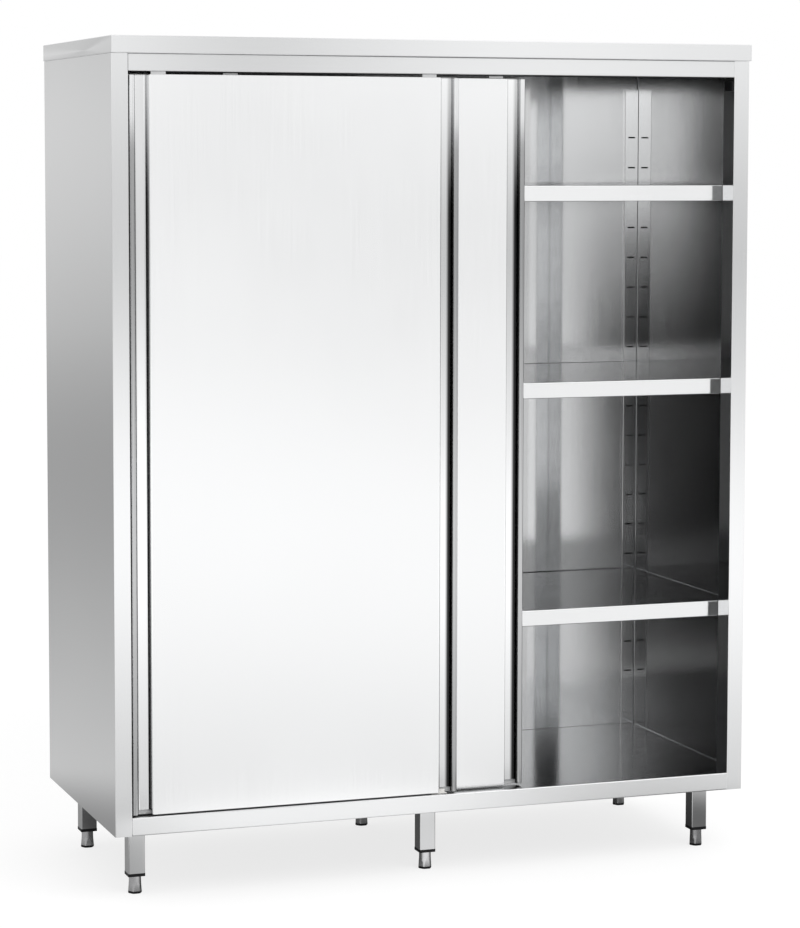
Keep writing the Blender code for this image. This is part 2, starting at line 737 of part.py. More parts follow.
def make_buffers():
    """A rubber pad high on each stile stops both doors."""
    top = DOOR_TOP - BUFFER_BELOW_DOOR_TOP
    front = BODY_FRONT + DOOR_INSET + FOLD_RADIUS
    for name, side in (("right_door_buffer", 1), ("left_door_buffer", -1)):
        face = side * (OPENING_HALF - GAP)
        ends = sorted((face, face - side * BUFFER_THICKNESS))
        pad = block((ends[0], front, top - BUFFER_HEIGHT), (ends[1], front + BUFFER_DEPTH, top))
        piece(name, pad, BLACK_PLASTIC)


def make_leg(where, place):
    """A square tube with a plate welded on top, which is screwed up under the floor panel."""
    half = LEG_TUBE / 2
    top = FLOOR_UNDERSIDE - GAP
    tube = block((-half, -half, LEG_TUBE_END), (half, half, top - LEG_PLATE_THICKNESS / 2))
    ends = [face for face in tube.faces if abs(face.normal.z) > 0.9]
    bmesh.ops.delete(tube, geom=ends, context="FACES_ONLY")
    soften(tube, LEG_CORNER_RADIUS, FOLD_STEPS, upright)
    leg = piece(f"leg_{where}", tube, STEEL, location=place)
    thicken(leg, LEG_WALL)
    shade_round(leg)
    reach = LEG_PLATE / 2
    plate = block((-reach, -reach, top - LEG_PLATE_THICKNESS), (reach, reach, top))
    combine(leg, tool(f"leg_plate_{where}", plate, location=place), "UNION")


def make_insert(where, place):
    """A plastic plug in the tube's end, with a band that shows and a bore for the foot's stem."""
    half = LEG_TUBE / 2 + INSERT_PROUD
    low = FOOT_HEIGHT + GAP
    band = block((-half, -half, low), (half, half, low + INSERT_BAND))
    soften(band, LEG_CORNER_RADIUS, FOLD_STEPS, upright)
    insert = piece(f"leg_insert_{where}", band, BLACK_PLASTIC, location=place)
    plug_half = LEG_TUBE / 2 - LEG_WALL - GAP
    plug_low = (-plug_half, -plug_half, low + INSERT_BAND / 2)
    plug_high = (plug_half, plug_half, LEG_TUBE_END + INSERT_PLUG)
    plug = block(plug_low, plug_high)
    soften(plug, LEG_CORNER_RADIUS, FOLD_STEPS, upright)
    combine(insert, tool(f"insert_plug_{where}", plug, location=place), "UNION")
    bore = rod(STEM_RADIUS + STEM_PLAY, 0, LEG_TUBE_END + 2 * INSERT_PLUG)
    combine(insert, tool(f"insert_bore_{where}", bore, location=place), "DIFFERENCE")


def make_foot(where, place):
    """A turned steel foot on a threaded stem, with spanner flats and a rubber pad round its base."""
    stem_top = FOOT_HEIGHT + STEM_LENGTH
    profile = [
        (0, stem_top),
        (STEM_RADIUS, stem_top),
        (STEM_RADIUS, FOOT_HEIGHT),
        (FOOT_TOP_RADIUS, FOOT_HEIGHT),
        (FOOT_TOP_RADIUS, FOOT_TAPER_TOP),
        (FOOT_BASE_RADIUS, FOOT_PAD),
        (FOOT_PAD_RADIUS, FOOT_PAD),
        (FOOT_PAD_RADIUS, FOOT_PAD_EDGE),
        (FOOT_PAD_RADIUS - FOOT_PAD_EDGE, 0),
        (0, 0),
    ]
    foot = turned(f"foot_{where}", profile, False, BRIGHT_STEEL, None, place)
    shade_round(foot)
    corner = FOOT_FLATS_RADIUS / math.cos(math.pi / FOOT_FLATS)
    flats = bmesh.new()
    bmesh.ops.create_cone(
        flats, cap_ends=True, segments=FOOT_FLATS, radius1=corner, radius2=corner,
        depth=4 * stem_top,
    )
    combine(foot, tool(f"foot_flats_{where}", flats, location=place), "INTERSECT")


def make_legs():
    side = BODY_HALF - LEG_FROM_SIDE
    rows = {"front": BODY_FRONT + LEG_FROM_FRONT, "rear": BODY_BACK - LEG_FROM_BACK}
    for row, along in rows.items():
        for column, across in (("left", -side), ("middle", 0), ("right", side)):
            where = f"{row}_{column}"
            place = (across, along, 0)
            make_leg(where, place)
            make_insert(where, place)
            make_foot(where, place)


clear_scene()
cupboard = new_collection("catering_cupboard")
cutters = new_collection("cutters")
make_top_panel()
make_side_panels()
make_back_panel()
make_floor_panel()
make_header_rail()
make_pilasters()
make_shelf_clips()
make_shelves()
make_doors()
make_track()
make_floor_guide()
make_buffers()
make_legs()
bpy.context.view_layer.update()
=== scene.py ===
"""Looks of the catering cupboard: ground stainless sheet, folded and welded, under plain soft studio light.

Sizes are in metres. The cupboard stands on the ground under the origin and its doors face -Y.
"""

import math

import bmesh
import bpy
from mathutils import Matrix, Vector


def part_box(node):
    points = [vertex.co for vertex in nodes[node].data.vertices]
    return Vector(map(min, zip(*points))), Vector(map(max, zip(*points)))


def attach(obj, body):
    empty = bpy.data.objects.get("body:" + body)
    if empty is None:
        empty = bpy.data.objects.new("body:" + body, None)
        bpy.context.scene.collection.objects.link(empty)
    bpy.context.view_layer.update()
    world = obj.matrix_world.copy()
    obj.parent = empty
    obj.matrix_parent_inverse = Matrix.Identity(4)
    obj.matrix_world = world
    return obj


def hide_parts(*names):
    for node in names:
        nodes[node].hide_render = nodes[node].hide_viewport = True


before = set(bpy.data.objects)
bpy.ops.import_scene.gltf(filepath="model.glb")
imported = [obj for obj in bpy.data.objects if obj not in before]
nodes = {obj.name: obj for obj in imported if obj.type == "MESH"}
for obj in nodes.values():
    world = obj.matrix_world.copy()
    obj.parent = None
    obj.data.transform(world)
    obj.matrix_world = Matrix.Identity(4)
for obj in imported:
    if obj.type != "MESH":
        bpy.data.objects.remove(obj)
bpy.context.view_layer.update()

# Camera. It stands about 7 m off to the left of the doors at eye height, with a long lens, and its
# frame is moved down a little so that the uprights stay nearly upright.
EYE = (-2.38141, -6.75824, 1.73641)
TURNED_RIGHT, LOOKS_UP, ROLL = 0.34087, -0.08162, 0.00181
camera = bpy.data.objects.new("camera", bpy.data.cameras.new("camera"))
bpy.context.scene.collection.objects.link(camera)
aim = Matrix.Rotation(-TURNED_RIGHT, 4, "Z") @ Matrix.Rotation(math.radians(90) + LOOKS_UP, 4, "X")
camera.matrix_world = Matrix.Translation(EYE) @ aim @ Matrix.Rotation(ROLL, 4, "Z")
camera.data.lens = 112.446
camera.data.sensor_width = 36
camera.data.shift_y = -0.08
camera.data.clip_end = 200
bpy.context.scene.camera = camera
bpy.context.scene.view_settings.view_transform = "Standard"

# Studio. A plain white room that fades to grey low down behind, with one soft lamp overhead in front.
# The steel mirrors the room, so its level by height is set out here as the photograph's steel shows it.
ROOM_LEVEL = 0.85
BRIGHTEST = 1.4
RAMP_LOW, RAMP_HIGH = -0.30, 0.20


def feed(tree, socket, value):
    """Gives a socket a number, or links another socket to it."""
    if isinstance(value, (int, float)):
        socket.default_value = value
    else:
        tree.links.new(value, socket)


def wire(tree, *links):
    """Joins sockets, each given as (node, socket, node, socket)."""
    for source, out, target, into in links:
        tree.links.new(source.outputs[out], target.inputs[into])


def sum_node(tree, operation, *values):
    """One sum on numbers or sockets."""
    node = tree.nodes.new("ShaderNodeMath")
    node.operation = operation
    for index, value in enumerate(values):
        feed(tree, node.inputs[index], value)
    return node.outputs[0]


def between(tree, share, first, second):
    """A level that goes from first to second as share goes from 0 to 1."""
    node = tree.nodes.new("ShaderNodeMix")
    for label, value in (("Factor", share), ("A", first), ("B", second)):
        feed(tree, node.inputs[label], value)
    return node.outputs["Result"]


def fade(tree, value, low, high, start=0.0, end=1.0):
    """A soft step from start to end as value goes from low to high."""
    node = tree.nodes.new("ShaderNodeMapRange")
    node.interpolation_type = "SMOOTHSTEP"
    for label, number in (("From Min", low), ("From Max", high), ("To Min", start), ("To Max", end)):
        node.inputs[label].default_value = number
    tree.links.new(value, node.inputs["Value"])
    return node.outputs["Result"]


def fades(tree, *steps):
    """The product of soft steps, each given as (value, low, high, start, end)."""
    product = fade(tree, *steps[0])
    for step in steps[1:]:
        product = sum_node(tree, "MULTIPLY", product, fade(tree, *step))
    return product


def axes(tree, vector):
    """The X, Y and Z of a vector."""
    split = tree.nodes.new("ShaderNodeSeparateXYZ")
    tree.links.new(vector, split.inputs[0])
    return split.outputs


def curve(tree, value, stops):
    """A smooth curve of levels, from stops of (place, level) with its two ends first."""
    ramp = tree.nodes.new("ShaderNodeValToRGB")
    ramp.color_ramp.interpolation = "B_SPLINE"
    elements = ramp.color_ramp.elements
    for index, (at, strength) in enumerate(stops):
        element = elements[index] if index < 2 else elements.new(at)
        element.position = at
        element.color = (*[strength] * 3, 1)
    tree.links.new(value, ramp.inputs["Fac"])
    return ramp.outputs["Color"]


def by_height(tree, height, stops):
    """A level that follows stops of (height, level) smoothly, also above 1."""
    span = RAMP_HIGH - RAMP_LOW
    scaled = [((at - RAMP_LOW) / span, strength / BRIGHTEST) for at, strength in stops]
    return sum_node(tree, "MULTIPLY", curve(tree, height, scaled), BRIGHTEST)


def node_group(name, inputs, outputs):
    """An empty shader node group. Its sockets are given as (name, kind, value) and (name, kind)."""
    group = bpy.data.node_groups.new(name, "ShaderNodeTree")
    for label, kind, value in inputs:
        socket = group.interface.new_socket(name=label, in_out="INPUT", socket_type=kind)
        socket.default_value = value
    for label, kind in outputs:
        group.interface.new_socket(name=label, in_out="OUTPUT", socket_type=kind)
    return group, group.nodes.new("NodeGroupInput"), group.nodes.new("NodeGroupOutput")


def placed(tree, group, **values):
    """A node group placed in a material, with its own values."""
    node = tree.nodes.new("ShaderNodeGroup")
    node.node_tree = group
    for label, value in values.items():
        node.inputs[label].default_value = value
    return node


# How bright the room is in each direction, as polished metal shows it. The curves take the direction's
# Z, or its X, and give the level there. The two ends of each come first
AHEAD_BY_HEIGHT = (
    (-0.30, 0.72), (0.20, 1.12), (-0.23, 0.74), (-0.19, 0.86), (-0.16, 1.20),
    (-0.13, 1.38), (-0.095, 1.15), (-0.06, 0.82), (-0.03, 0.58), (0.0, 0.66), (0.03, 1.15),
)
BEHIND_BY_HEIGHT = (
    (-0.30, 0.74), (0.20, 0.95), (-0.21, 0.68), (-0.15, 0.47),
    (-0.10, 0.36), (-0.06, 0.56), (0.01, 0.85), (0.05, 0.60),
)
AHEAD_ACROSS = (
    (0.20, 0.5), (0.60, 0.5), (0.233, 0.66), (0.276, 0.14),
    (0.309, 0.42), (0.345, 0.6), (0.39, 0.60), (0.44, 0.44),
)
SWING = 2.2
# Soft steps, as (from, to, level before, level after), 0 and 1 where they give no levels. Below the
# horizon the room ahead falls a little to the right, as the doors show, and behind it falls to the left
ABOVE_HORIZON = (0.0, 0.02)
FALL_RIGHT, FALL_ENDS = (0.24, 0.36, 0.20, -0.10), (0.36, 0.41, 0.0, 0.10)
FALL_LOWEST, FALL_HIGHEST, FALL_BEGINS = (-0.13, -0.08), (0.0, 0.012, 1.0, 0.0), (0.12, 0.22)
FALL_LEFT = (-0.255, -0.20, 0.84, 1.20)
FRONT_TO_BACK = (-0.2, 0.3)
room_light, r_in, r_out = node_group(
    "room_light", (("Direction", "NodeSocketVector", (0, 0, 1)),), (("Level", "NodeSocketFloat"),)
)
way = axes(room_light, r_in.outputs["Direction"])
height = room_light.nodes.new("ShaderNodeMapRange")
height.inputs["From Min"].default_value = RAMP_LOW
height.inputs["From Max"].default_value = RAMP_HIGH
room_light.links.new(way["Z"], height.inputs["Value"])
ahead = by_height(room_light, height.outputs["Result"], AHEAD_BY_HEIGHT)
behind = by_height(room_light, height.outputs["Result"], BEHIND_BY_HEIGHT)
swing = sum_node(room_light, "MULTIPLY_ADD", curve(room_light, way["X"], AHEAD_ACROSS), SWING, -SWING / 2)
ahead = sum_node(room_light, "MULTIPLY_ADD", swing, fade(room_light, way["Z"], *ABOVE_HORIZON), ahead)
slant = sum_node(
    room_light, "ADD", fade(room_light, way["X"], *FALL_RIGHT), fade(room_light, way["X"], *FALL_ENDS)
)
for step in ((way["Z"], *FALL_LOWEST), (way["Z"], *FALL_HIGHEST), (way["X"], *FALL_BEGINS)):
    slant = sum_node(room_light, "MULTIPLY", slant, fade(room_light, *step))
ahead = sum_node(room_light, "MULTIPLY", ahead, sum_node(room_light, "ADD", slant, 1.0))
behind = sum_node(room_light, "MULTIPLY", behind, fade(room_light, way["X"], *FALL_LEFT))
both = between(room_light, fade(room_light, way["Y"], *FRONT_TO_BACK), ahead, behind)
room_light.links.new(both, r_out.inputs["Level"])

world = bpy.data.worlds.new("studio_room")
bpy.context.scene.world = world
world.use_nodes = True
room = world.node_tree
ray = room.nodes.new("ShaderNodeLightPath")
shown = placed(room, room_light)
room.links.new(room.nodes.new("ShaderNodeTexCoord").outputs["Generated"], shown.inputs["Direction"])
mirrored = sum_node(room, "MAXIMUM", ray.outputs["Is Glossy Ray"], ray.outputs["Is Transmission Ray"])
level = between(room, mirrored, ROOM_LEVEL, shown.outputs["Level"])
whole = between(room, ray.outputs["Is Camera Ray"], level, 1.0)
room.links.new(whole, room.nodes["Background"].inputs["Strength"])
room.nodes["Background"].inputs["Color"].default_value = (1, 1, 1, 1)


def to_object(name, bm):
    """A finished bmesh as an object of the scene."""
    mesh = bpy.data.meshes.new(name)
    bm.to_mesh(mesh)
    bm.free()
    obj = bpy.data.objects.new(name, mesh)
    bpy.context.scene.collection.objects.link(obj)
    return obj


def card(name, centre, width, height, faces):
    """A flat card of the studio, whose front looks along faces."""
    bm = bmesh.new()
    bmesh.ops.create_grid(bm, x_segments=1, y_segments=1, size=0.5)
    turn = Vector(faces).to_track_quat("Z", "Y").to_matrix().to_4x4()
    place = Matrix.Translation(centre) @ turn @ Matrix.Diagonal((width, height, 1, 1))
    bmesh.ops.transform(bm, matrix=place, verts=bm.verts)
    obj = to_object(name, bm)
    return obj


def new_look(name):
    """A new material, with its node tree and its shader."""
    made = bpy.data.materials.new(name)
    made.use_nodes = True
    return made, made.node_tree, made.node_tree.nodes["Principled BSDF"]


def own_place(tree):
    """Where a point of the piece is."""
    return tree.nodes.new("ShaderNodeTexCoord").outputs["Object"]


# The floor keeps a light shadow. Near the cupboard the steel mirrors a painted pool of light on it in front
# and a painted shadow underneath, and mirrors the room further off. The steps are in metres
FLOOR_SIDE = 80
FLOOR_SHADOW = 0.3
FLOOR_TONE, FLOOR_WHITE = 0.9, 1.1
POOL_ACROSS = ((-0.9, -0.3, 0.4, 1.0), (0.1, 0.85, 1.30, 0.25))
POOL_AHEAD = ((-1.28, -1.12, 0.4, 1.0), (-0.95, -0.8, 1.0, 0.62))
SHADOW_ACROSS, SHADOW_AHEAD = (0.65, 0.85, 1.0, 0.0), (-0.40, -0.20)
SHADOW_DARKNESS = 0.9
POOL_ENDS = (1.05, 1.6)
floor = card("studio_floor", (0, 0, 0), FLOOR_SIDE, FLOOR_SIDE, (0, 0, 1))
paint, tree, shader = new_look("studio_floor")
tree.nodes.remove(shader)
ray = tree.nodes.new("ShaderNodeLightPath")
spot = own_place(tree)
beside = axes(tree, spot)
pool = fades(
    tree, *((beside["X"], *step) for step in POOL_ACROSS), *((beside["Y"], *step) for step in POOL_AHEAD)
)
# Painted shadow under the cupboard, in the floor as the steel mirrors it
shadow_beneath = fades(
    tree, (sum_node(tree, "ABSOLUTE", beside["X"]), *SHADOW_ACROSS), (beside["Y"], *SHADOW_AHEAD)
)
pool = sum_node(tree, "MULTIPLY", pool, sum_node(tree, "MULTIPLY_ADD", shadow_beneath, -SHADOW_DARKNESS, 1.0))
matt = tree.nodes.new("ShaderNodeBsdfDiffuse")
matt.inputs["Color"].default_value = (FLOOR_TONE, FLOOR_TONE, FLOOR_TONE, 1)
lit = tree.nodes.new("ShaderNodeEmission")
tree.links.new(pool, lit.inputs["Strength"])
white = tree.nodes.new("ShaderNodeEmission")
white.inputs["Strength"].default_value = FLOOR_WHITE
clear = tree.nodes.new("ShaderNodeBsdfTransparent")
seen = tree.nodes.new("ShaderNodeMixShader")
tree.links.new(sum_node(tree, "MULTIPLY", ray.outputs["Is Camera Ray"], 1 - FLOOR_SHADOW), seen.inputs[0])
away = tree.nodes.new("ShaderNodeVectorMath")
away.operation = "LENGTH"
tree.links.new(spot, away.inputs[0])
far = fade(tree, away.outputs["Value"], *POOL_ENDS)
near = tree.nodes.new("ShaderNodeMixShader")
mixed = tree.nodes.new("ShaderNodeMixShader")
tree.links.new(sum_node(tree, "MULTIPLY", far, ray.outputs["Is Glossy Ray"]), mixed.inputs[0])
wire(
    tree,
    (matt, 0, seen, 1),
    (white, 0, seen, 2),
    (ray, "Is Glossy Ray", near, 0),
    (seen, 0, near, 1),
    (lit, 0, near, 2),
    (near, 0, mixed, 1),
    (clear, 0, mixed, 2),
    (mixed, 0, tree.nodes["Material Output"], "Surface"),
)
floor.data.materials.append(paint)

LAMP_PLACE, LAMP_TARGET = Vector((1.6, -4.0, 5.2)), Vector((0, 0, 0.9))
overhead = bpy.data.lights.new("overhead_lamp", "AREA")
overhead.size = 4.0
overhead.energy = 150
lamp = bpy.data.objects.new("overhead_lamp", overhead)
bpy.context.scene.collection.objects.link(lamp)
lamp.visible_camera = False
lamp.visible_glossy = False
lamp_aim = (LAMP_PLACE - LAMP_TARGET).to_track_quat("Z", "Y").to_matrix().to_4x4()
lamp.matrix_world = Matrix.Translation(LAMP_PLACE) @ lamp_aim

# Two far curtains in front, as bright as the room for the outside of the cupboard. The pieces inside
# mirror the left one dark at its far end, and the rest dimmed. It ends further left just above the
# horizon, and is thin again far out and higher up. What lies right of it is dimmed low down and far right
CLOTH_ENDS, SHIFT_AT_HORIZON = (-0.390, -0.375), 0.038
AT_HORIZON = ((-0.010, 0.004), (0.05, 0.12, 1.0, 0.0))
DIM_LOW_DOWN, DIM_FAR_RIGHT = (-0.10, -0.04, 0.7, 1.0), (0.0, 0.1, 1.0, 0.7)
THIN_FAR_OUT = (-0.50, -0.44, 0.6, 0.0)
THIN_HIGHER_UP = ((0.04, 0.07, 0.0, 0.3), (0.09, 0.14, 1.0, 0.0))
cloth, tree, shader = new_look("far_curtain")
tree.nodes.remove(shader)
glow = tree.nodes.new("ShaderNodeEmission")
shown = placed(tree, room_light)
heading = tree.nodes.new("ShaderNodeVectorMath")
heading.operation = "NORMALIZE"
tree.links.new(own_place(tree), heading.inputs[0])
way = axes(tree, heading.outputs[0])
horizon = fades(tree, *((way["Z"], *step) for step in AT_HORIZON))
from_end = sum_node(tree, "MULTIPLY_ADD", horizon, SHIFT_AT_HORIZON, way["X"])
thin = fades(tree, (from_end, *CLOTH_ENDS), (way["Z"], *DIM_LOW_DOWN), (way["X"], *DIM_FAR_RIGHT))
thin = sum_node(tree, "MAXIMUM", thin, fade(tree, way["X"], *THIN_FAR_OUT))
thin = sum_node(tree, "MAXIMUM", thin, fades(tree, *((way["Z"], *step) for step in THIN_HIGHER_UP)))
gauze = tree.nodes.new("ShaderNodeMixShader")
tree.links.new(thin, gauze.inputs[0])
wire(
    tree,
    (heading, 0, shown, "Direction"),
    (shown, "Level", glow, "Strength"),
    (glow, 0, gauze, 1),
    (tree.nodes.new("ShaderNodeBsdfTransparent"), 0, gauze, 2),
    (gauze, 0, tree.nodes["Material Output"], "Surface"),
)
cloth.cycles.emission_sampling = "NONE"
CURTAIN_FAR, CURTAIN_RISE, CURTAIN_HEIGHT = 60, -18, 80
# The degrees that each spans, right of straight ahead
CURTAIN_SPANS = (("left", -75, -4), ("right", 12, 60))
unlit = bpy.data.collections.new("dark_to_curtains")
for side, start, end in CURTAIN_SPANS:
    angle, half = math.radians((end + start) / 2), math.radians((end - start) / 2)
    outward = Vector((math.sin(angle), -math.cos(angle), 0))
    centre = outward * CURTAIN_FAR + Vector((0, 0, CURTAIN_RISE))
    curtain = card(f"{side}_curtain", centre, 2 * CURTAIN_FAR * math.tan(half), CURTAIN_HEIGHT, -outward)
    curtain.data.materials.append(cloth)
    curtain.visible_camera = False
    curtain.visible_diffuse = False
    curtain.visible_shadow = False
    curtain.light_linking.receiver_collection = unlit


def inside(*objects):
    """Keeps the curtains' light off the pieces inside."""
    for obj in objects:
        unlit.objects.link(obj)
        unlit.collection_objects[-1].light_linking.link_state = "EXCLUDE"


# Side panels. One sheet of ground stainless steel each, 1 mm thick, folded on a press brake into
# wall, stile and cheek, with a short return behind for the back panel's screws.
SHEET = 0.001
FOLD = 0.002
NEARLY_FOLD = FOLD - 0.00001
FOLD_FACETS = 6
SHARP_ANGLE = math.radians(32)


def noise(tree, vector, scale, detail=2.0, rough=0.5):
    """A cloudy pattern of values about 0.5."""
    node = tree.nodes.new("ShaderNodeTexNoise")
    node.inputs["Scale"].default_value = scale
    node.inputs["Detail"].default_value = detail
    node.inputs["Roughness"].default_value = rough
    tree.links.new(vector, node.inputs["Vector"])
    return node.outputs["Fac"]


# Grinding marks: fine streaks along the belt's run, soft clouds, and the slight waves of thin sheet
STREAK_PATTERN, CLOUD_PATTERN, WAVE_PATTERN = (1.0, 3, 0.6), (2.6, 2), (1.7, 1)
STREAK_RISE, STREAK_DULLS = 0.0000015, 0.06
CLOUD_TONE, CLOUD_DULLS = 0.05, 0.05
ground, g_in, g_out = node_group(
    "ground_sheet",
    (
        ("Colour", "NodeSocketColor", (0.8, 0.8, 0.8, 1)),
        ("Roughness", "NodeSocketFloat", 0.15),
        ("Grain", "NodeSocketVector", (900, 900, 6)),
        ("Streak", "NodeSocketFloat", 0.05),
        ("Waves", "NodeSocketFloat", 0.0006),
    ),
    (("Colour", "NodeSocketColor"), ("Roughness", "NodeSocketFloat"), ("Height", "NodeSocketFloat")),
)
place = own_place(ground)
stretch = ground.nodes.new("ShaderNodeVectorMath")
stretch.operation = "MULTIPLY"
ground.links.new(place, stretch.inputs[0])
ground.links.new(g_in.outputs["Grain"], stretch.inputs[1])
streak = sum_node(ground, "SUBTRACT", noise(ground, stretch.outputs[0], *STREAK_PATTERN), 0.5)
cloud = sum_node(ground, "SUBTRACT", noise(ground, place, *CLOUD_PATTERN), 0.5)
swell = sum_node(ground, "MULTIPLY", noise(ground, place, *WAVE_PATTERN), g_in.outputs["Waves"])
tone = sum_node(ground, "MULTIPLY", streak, g_in.outputs["Streak"])
tone = sum_node(ground, "MULTIPLY_ADD", cloud, CLOUD_TONE, tone)
tone = sum_node(ground, "ADD", tone, 1.0)
tint = ground.nodes.new("ShaderNodeVectorMath")
tint.operation = "SCALE"
ground.links.new(g_in.outputs["Colour"], tint.inputs[0])
ground.links.new(tone, tint.inputs["Scale"])
ground.links.new(tint.outputs[0], g_out.inputs["Colour"])
rough = sum_node(ground, "MULTIPLY_ADD", streak, STREAK_DULLS, g_in.outputs["Roughness"])
ground.links.new(sum_node(ground, "MULTIPLY_ADD", cloud, CLOUD_DULLS, rough), g_out.inputs["Roughness"])
ground.links.new(sum_node(ground, "MULTIPLY_ADD", streak, STREAK_RISE, swell), g_out.inputs["Height"])

# Rubbed edges: a mask that is 1 where the metal turns a corner and 0 on the flat, in uneven patches
EDGE_SAMPLES, EDGE_GAIN = 6, 6.0
PATCH_PATTERN, PATCH_GAIN, PATCH_LEAST = (90, 3), 1.2, 0.2
rubbed, e_in, e_out = node_group(
    "rubbed_edge", (("Reach", "NodeSocketFloat", 0.002),), (("Mask", "NodeSocketFloat"),)
)
corner = rubbed.nodes.new("ShaderNodeBevel")
corner.samples = EDGE_SAMPLES
flat = rubbed.nodes.new("ShaderNodeNewGeometry")
turn = rubbed.nodes.new("ShaderNodeVectorMath")
turn.operation = "DOT_PRODUCT"
wire(
    rubbed,
    (e_in, "Reach", corner, "Radius"),
    (corner, 0, turn, 0),
    (flat, "Normal", turn, 1),
)
bend = sum_node(rubbed, "SUBTRACT", 1.0, turn.outputs["Value"])
patch = noise(rubbed, own_place(rubbed), *PATCH_PATTERN)
patch = sum_node(rubbed, "MULTIPLY_ADD", patch, PATCH_GAIN, PATCH_LEAST)
mask = sum_node(rubbed, "MULTIPLY", bend, EDGE_GAIN)
mask = sum_node(rubbed, "MULTIPLY", mask, patch)
rubbed.links.new(sum_node(rubbed, "MINIMUM", mask, 1.0), e_out.inputs["Mask"])

UP_GRAIN = (900, 900, 5)
ALONG_GRAIN = (5, 900, 900)
EDGE_BRIGHTENS = 1.1


def sheet_steel(
    name, colour, roughness, grain=UP_GRAIN, streak=0.05, waves=0.0003, reach=0.002, brushed=0.9, sharp=None
):
    """A ground stainless finish.

    It mirrors sharply along its grain, or along the axis sharp, and softly across.
    """
    made, tree, shader = new_look(name)
    shader.inputs["Metallic"].default_value = 1.0
    shader.inputs["Anisotropic"].default_value = brushed
    face = placed(
        tree, ground, Colour=(*colour, 1), Roughness=roughness, Grain=grain, Streak=streak, Waves=waves
    )
    edge = placed(tree, rubbed, Reach=reach)
    bright = tree.nodes.new("ShaderNodeMix")
    bright.data_type = "RGBA"
    bright.inputs["B"].default_value = (*(min(1.0, value * EDGE_BRIGHTENS) for value in colour), 1)
    bump = tree.nodes.new("ShaderNodeBump")
    bump.inputs["Distance"].default_value = 1.0
    across = tree.nodes.new("ShaderNodeVectorMath")
    across.operation = "CROSS_PRODUCT"
    across.inputs[1].default_value = sharp or ((1, 0, 0) if grain[0] < grain[2] else (0, 0, 1))
    wire(
        tree,
        (tree.nodes.new("ShaderNodeNewGeometry"), "Normal", across, 0),
        (across, 0, shader, "Tangent"),
        (face, "Colour", bright, "A"),
        (edge, "Mask", bright, "Factor"),
        (bright, "Result", shader, "Base Color"),
        (face, "Height", bump, "Height"),
        (bump, "Normal", shader, "Normal"),
        (face, "Roughness", shader, "Roughness"),
    )
    return made


def round_off(bm, geom, offset, affect="EDGES", segments=FOLD_FACETS):
    """Rounds edges or corners."""
    bmesh.ops.bevel(bm, geom=geom, affect=affect, offset=offset, segments=segments, profile=0.5, material=-1)


def folded(points, bends, lay, run, shows):
    """A folded sheet's outer face, from the corners of its section, the radius of each bend and its run.

    lay puts a corner of the section in space, and shows is the way the first strip's face looks.
    """
    bm = bmesh.new()
    verts = [bm.verts.new(lay(*point)) for point in points]
    for pair in zip(verts, verts[1:]):
        bm.edges.new(pair)
    reaches = []
    for before, corner, after, radius in zip(verts, verts[1:], verts[2:], bends):
        half = (before.co - corner.co).angle(after.co - corner.co) / 2
        reaches.append(radius / math.tan(half))
    for corner, reach in zip(verts[1:-1], reaches):
        round_off(bm, [corner], reach, "VERTICES")
    swept = bmesh.ops.extrude_edge_only(bm, edges=bm.edges[:])["geom"]
    bmesh.ops.translate(bm, vec=run, verts=[item for item in swept if isinstance(item, bmesh.types.BMVert)])
    bmesh.ops.recalc_face_normals(bm, faces=bm.faces)
    if verts[0].link_faces[0].normal.dot(Vector(shows)) < 0:
        bmesh.ops.reverse_faces(bm, faces=bm.faces)
    return bm


def thicken(bm, thickness=SHEET):
    """Gives a sheet its thickness, on the side away from the face that shows."""
    bmesh.ops.solidify(bm, geom=bm.faces[:], thickness=thickness)


def in_place(name, bm, look, body="carcass", stands_for=()):
    """A finished piece, which rides on its body and stands for the named CAD nodes."""
    obj = to_object(name, bm)
    obj.data.shade_smooth()
    obj.data.set_sharp_from_angle(angle=SHARP_ANGLE)
    obj.data.materials.append(look)
    flats = obj.modifiers.new("flat_faces", "WEIGHTED_NORMAL")
    flats.weight = 100
    flats.keep_sharp = True
    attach(obj, body)
    if stands_for:
        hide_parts(*stands_for)
    return obj


STILE_WIDTH = 0.040
STILE_DEPTH = 0.0585
REAR_RETURN = 0.015
panel_steel = sheet_steel("panel_steel", (0.79, 0.795, 0.80), 0.16, brushed=0.8)
lining_steel = sheet_steel("lining_steel", (0.82, 0.825, 0.83), 0.07, sharp=(0, 1, 0))
for side, sign in (("left", -1), ("right", 1)):
    low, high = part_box(f"{side}_side_panel")
    wall = sign * max(abs(low.x), abs(high.x))
    opening = wall - sign * STILE_WIDTH
    cheek = [(opening, low.y + STILE_DEPTH), (opening, low.y + FOLD)]
    stile = [
        (opening, low.y + FOLD),
        (opening, low.y),
        (wall, low.y),
        (wall, low.y + FOLD),
    ]
    plane = [
        (wall, low.y + FOLD),
        (wall, high.y),
        (wall - sign * REAR_RETURN, high.y),
    ]
    pieces = (
        ("cheek", cheek, [], -sign, lining_steel),
        ("stile", stile, [NEARLY_FOLD, NEARLY_FOLD], -sign, panel_steel),
        ("wall", plane, [FOLD], sign, panel_steel if side == "left" else lining_steel),
    )
    for part, points, bends, faces, look in pieces:
        bm = folded(points, bends, lambda x, y: (x, y, low.z), (0, 0, high.z - low.z), (faces, 0, 0))
        thicken(bm)
        stands_for = [f"{side}_side_panel"] if part == "stile" else ()
        made = in_place(f"{side}_{part}", bm, look, stands_for=stands_for)
        if side == "right" and part != "stile":
            inside(made)

# Back panel and floor panel. Each is a shallow tray with turned-in edges. The floor's front edge is
# the apron between the stiles, and a hat section is welded under the floor to stiffen it.
FLOOR_LIP, FLOOR_BEND = 0.015, 0.003
FLOOR_NOTCH = 0.0003
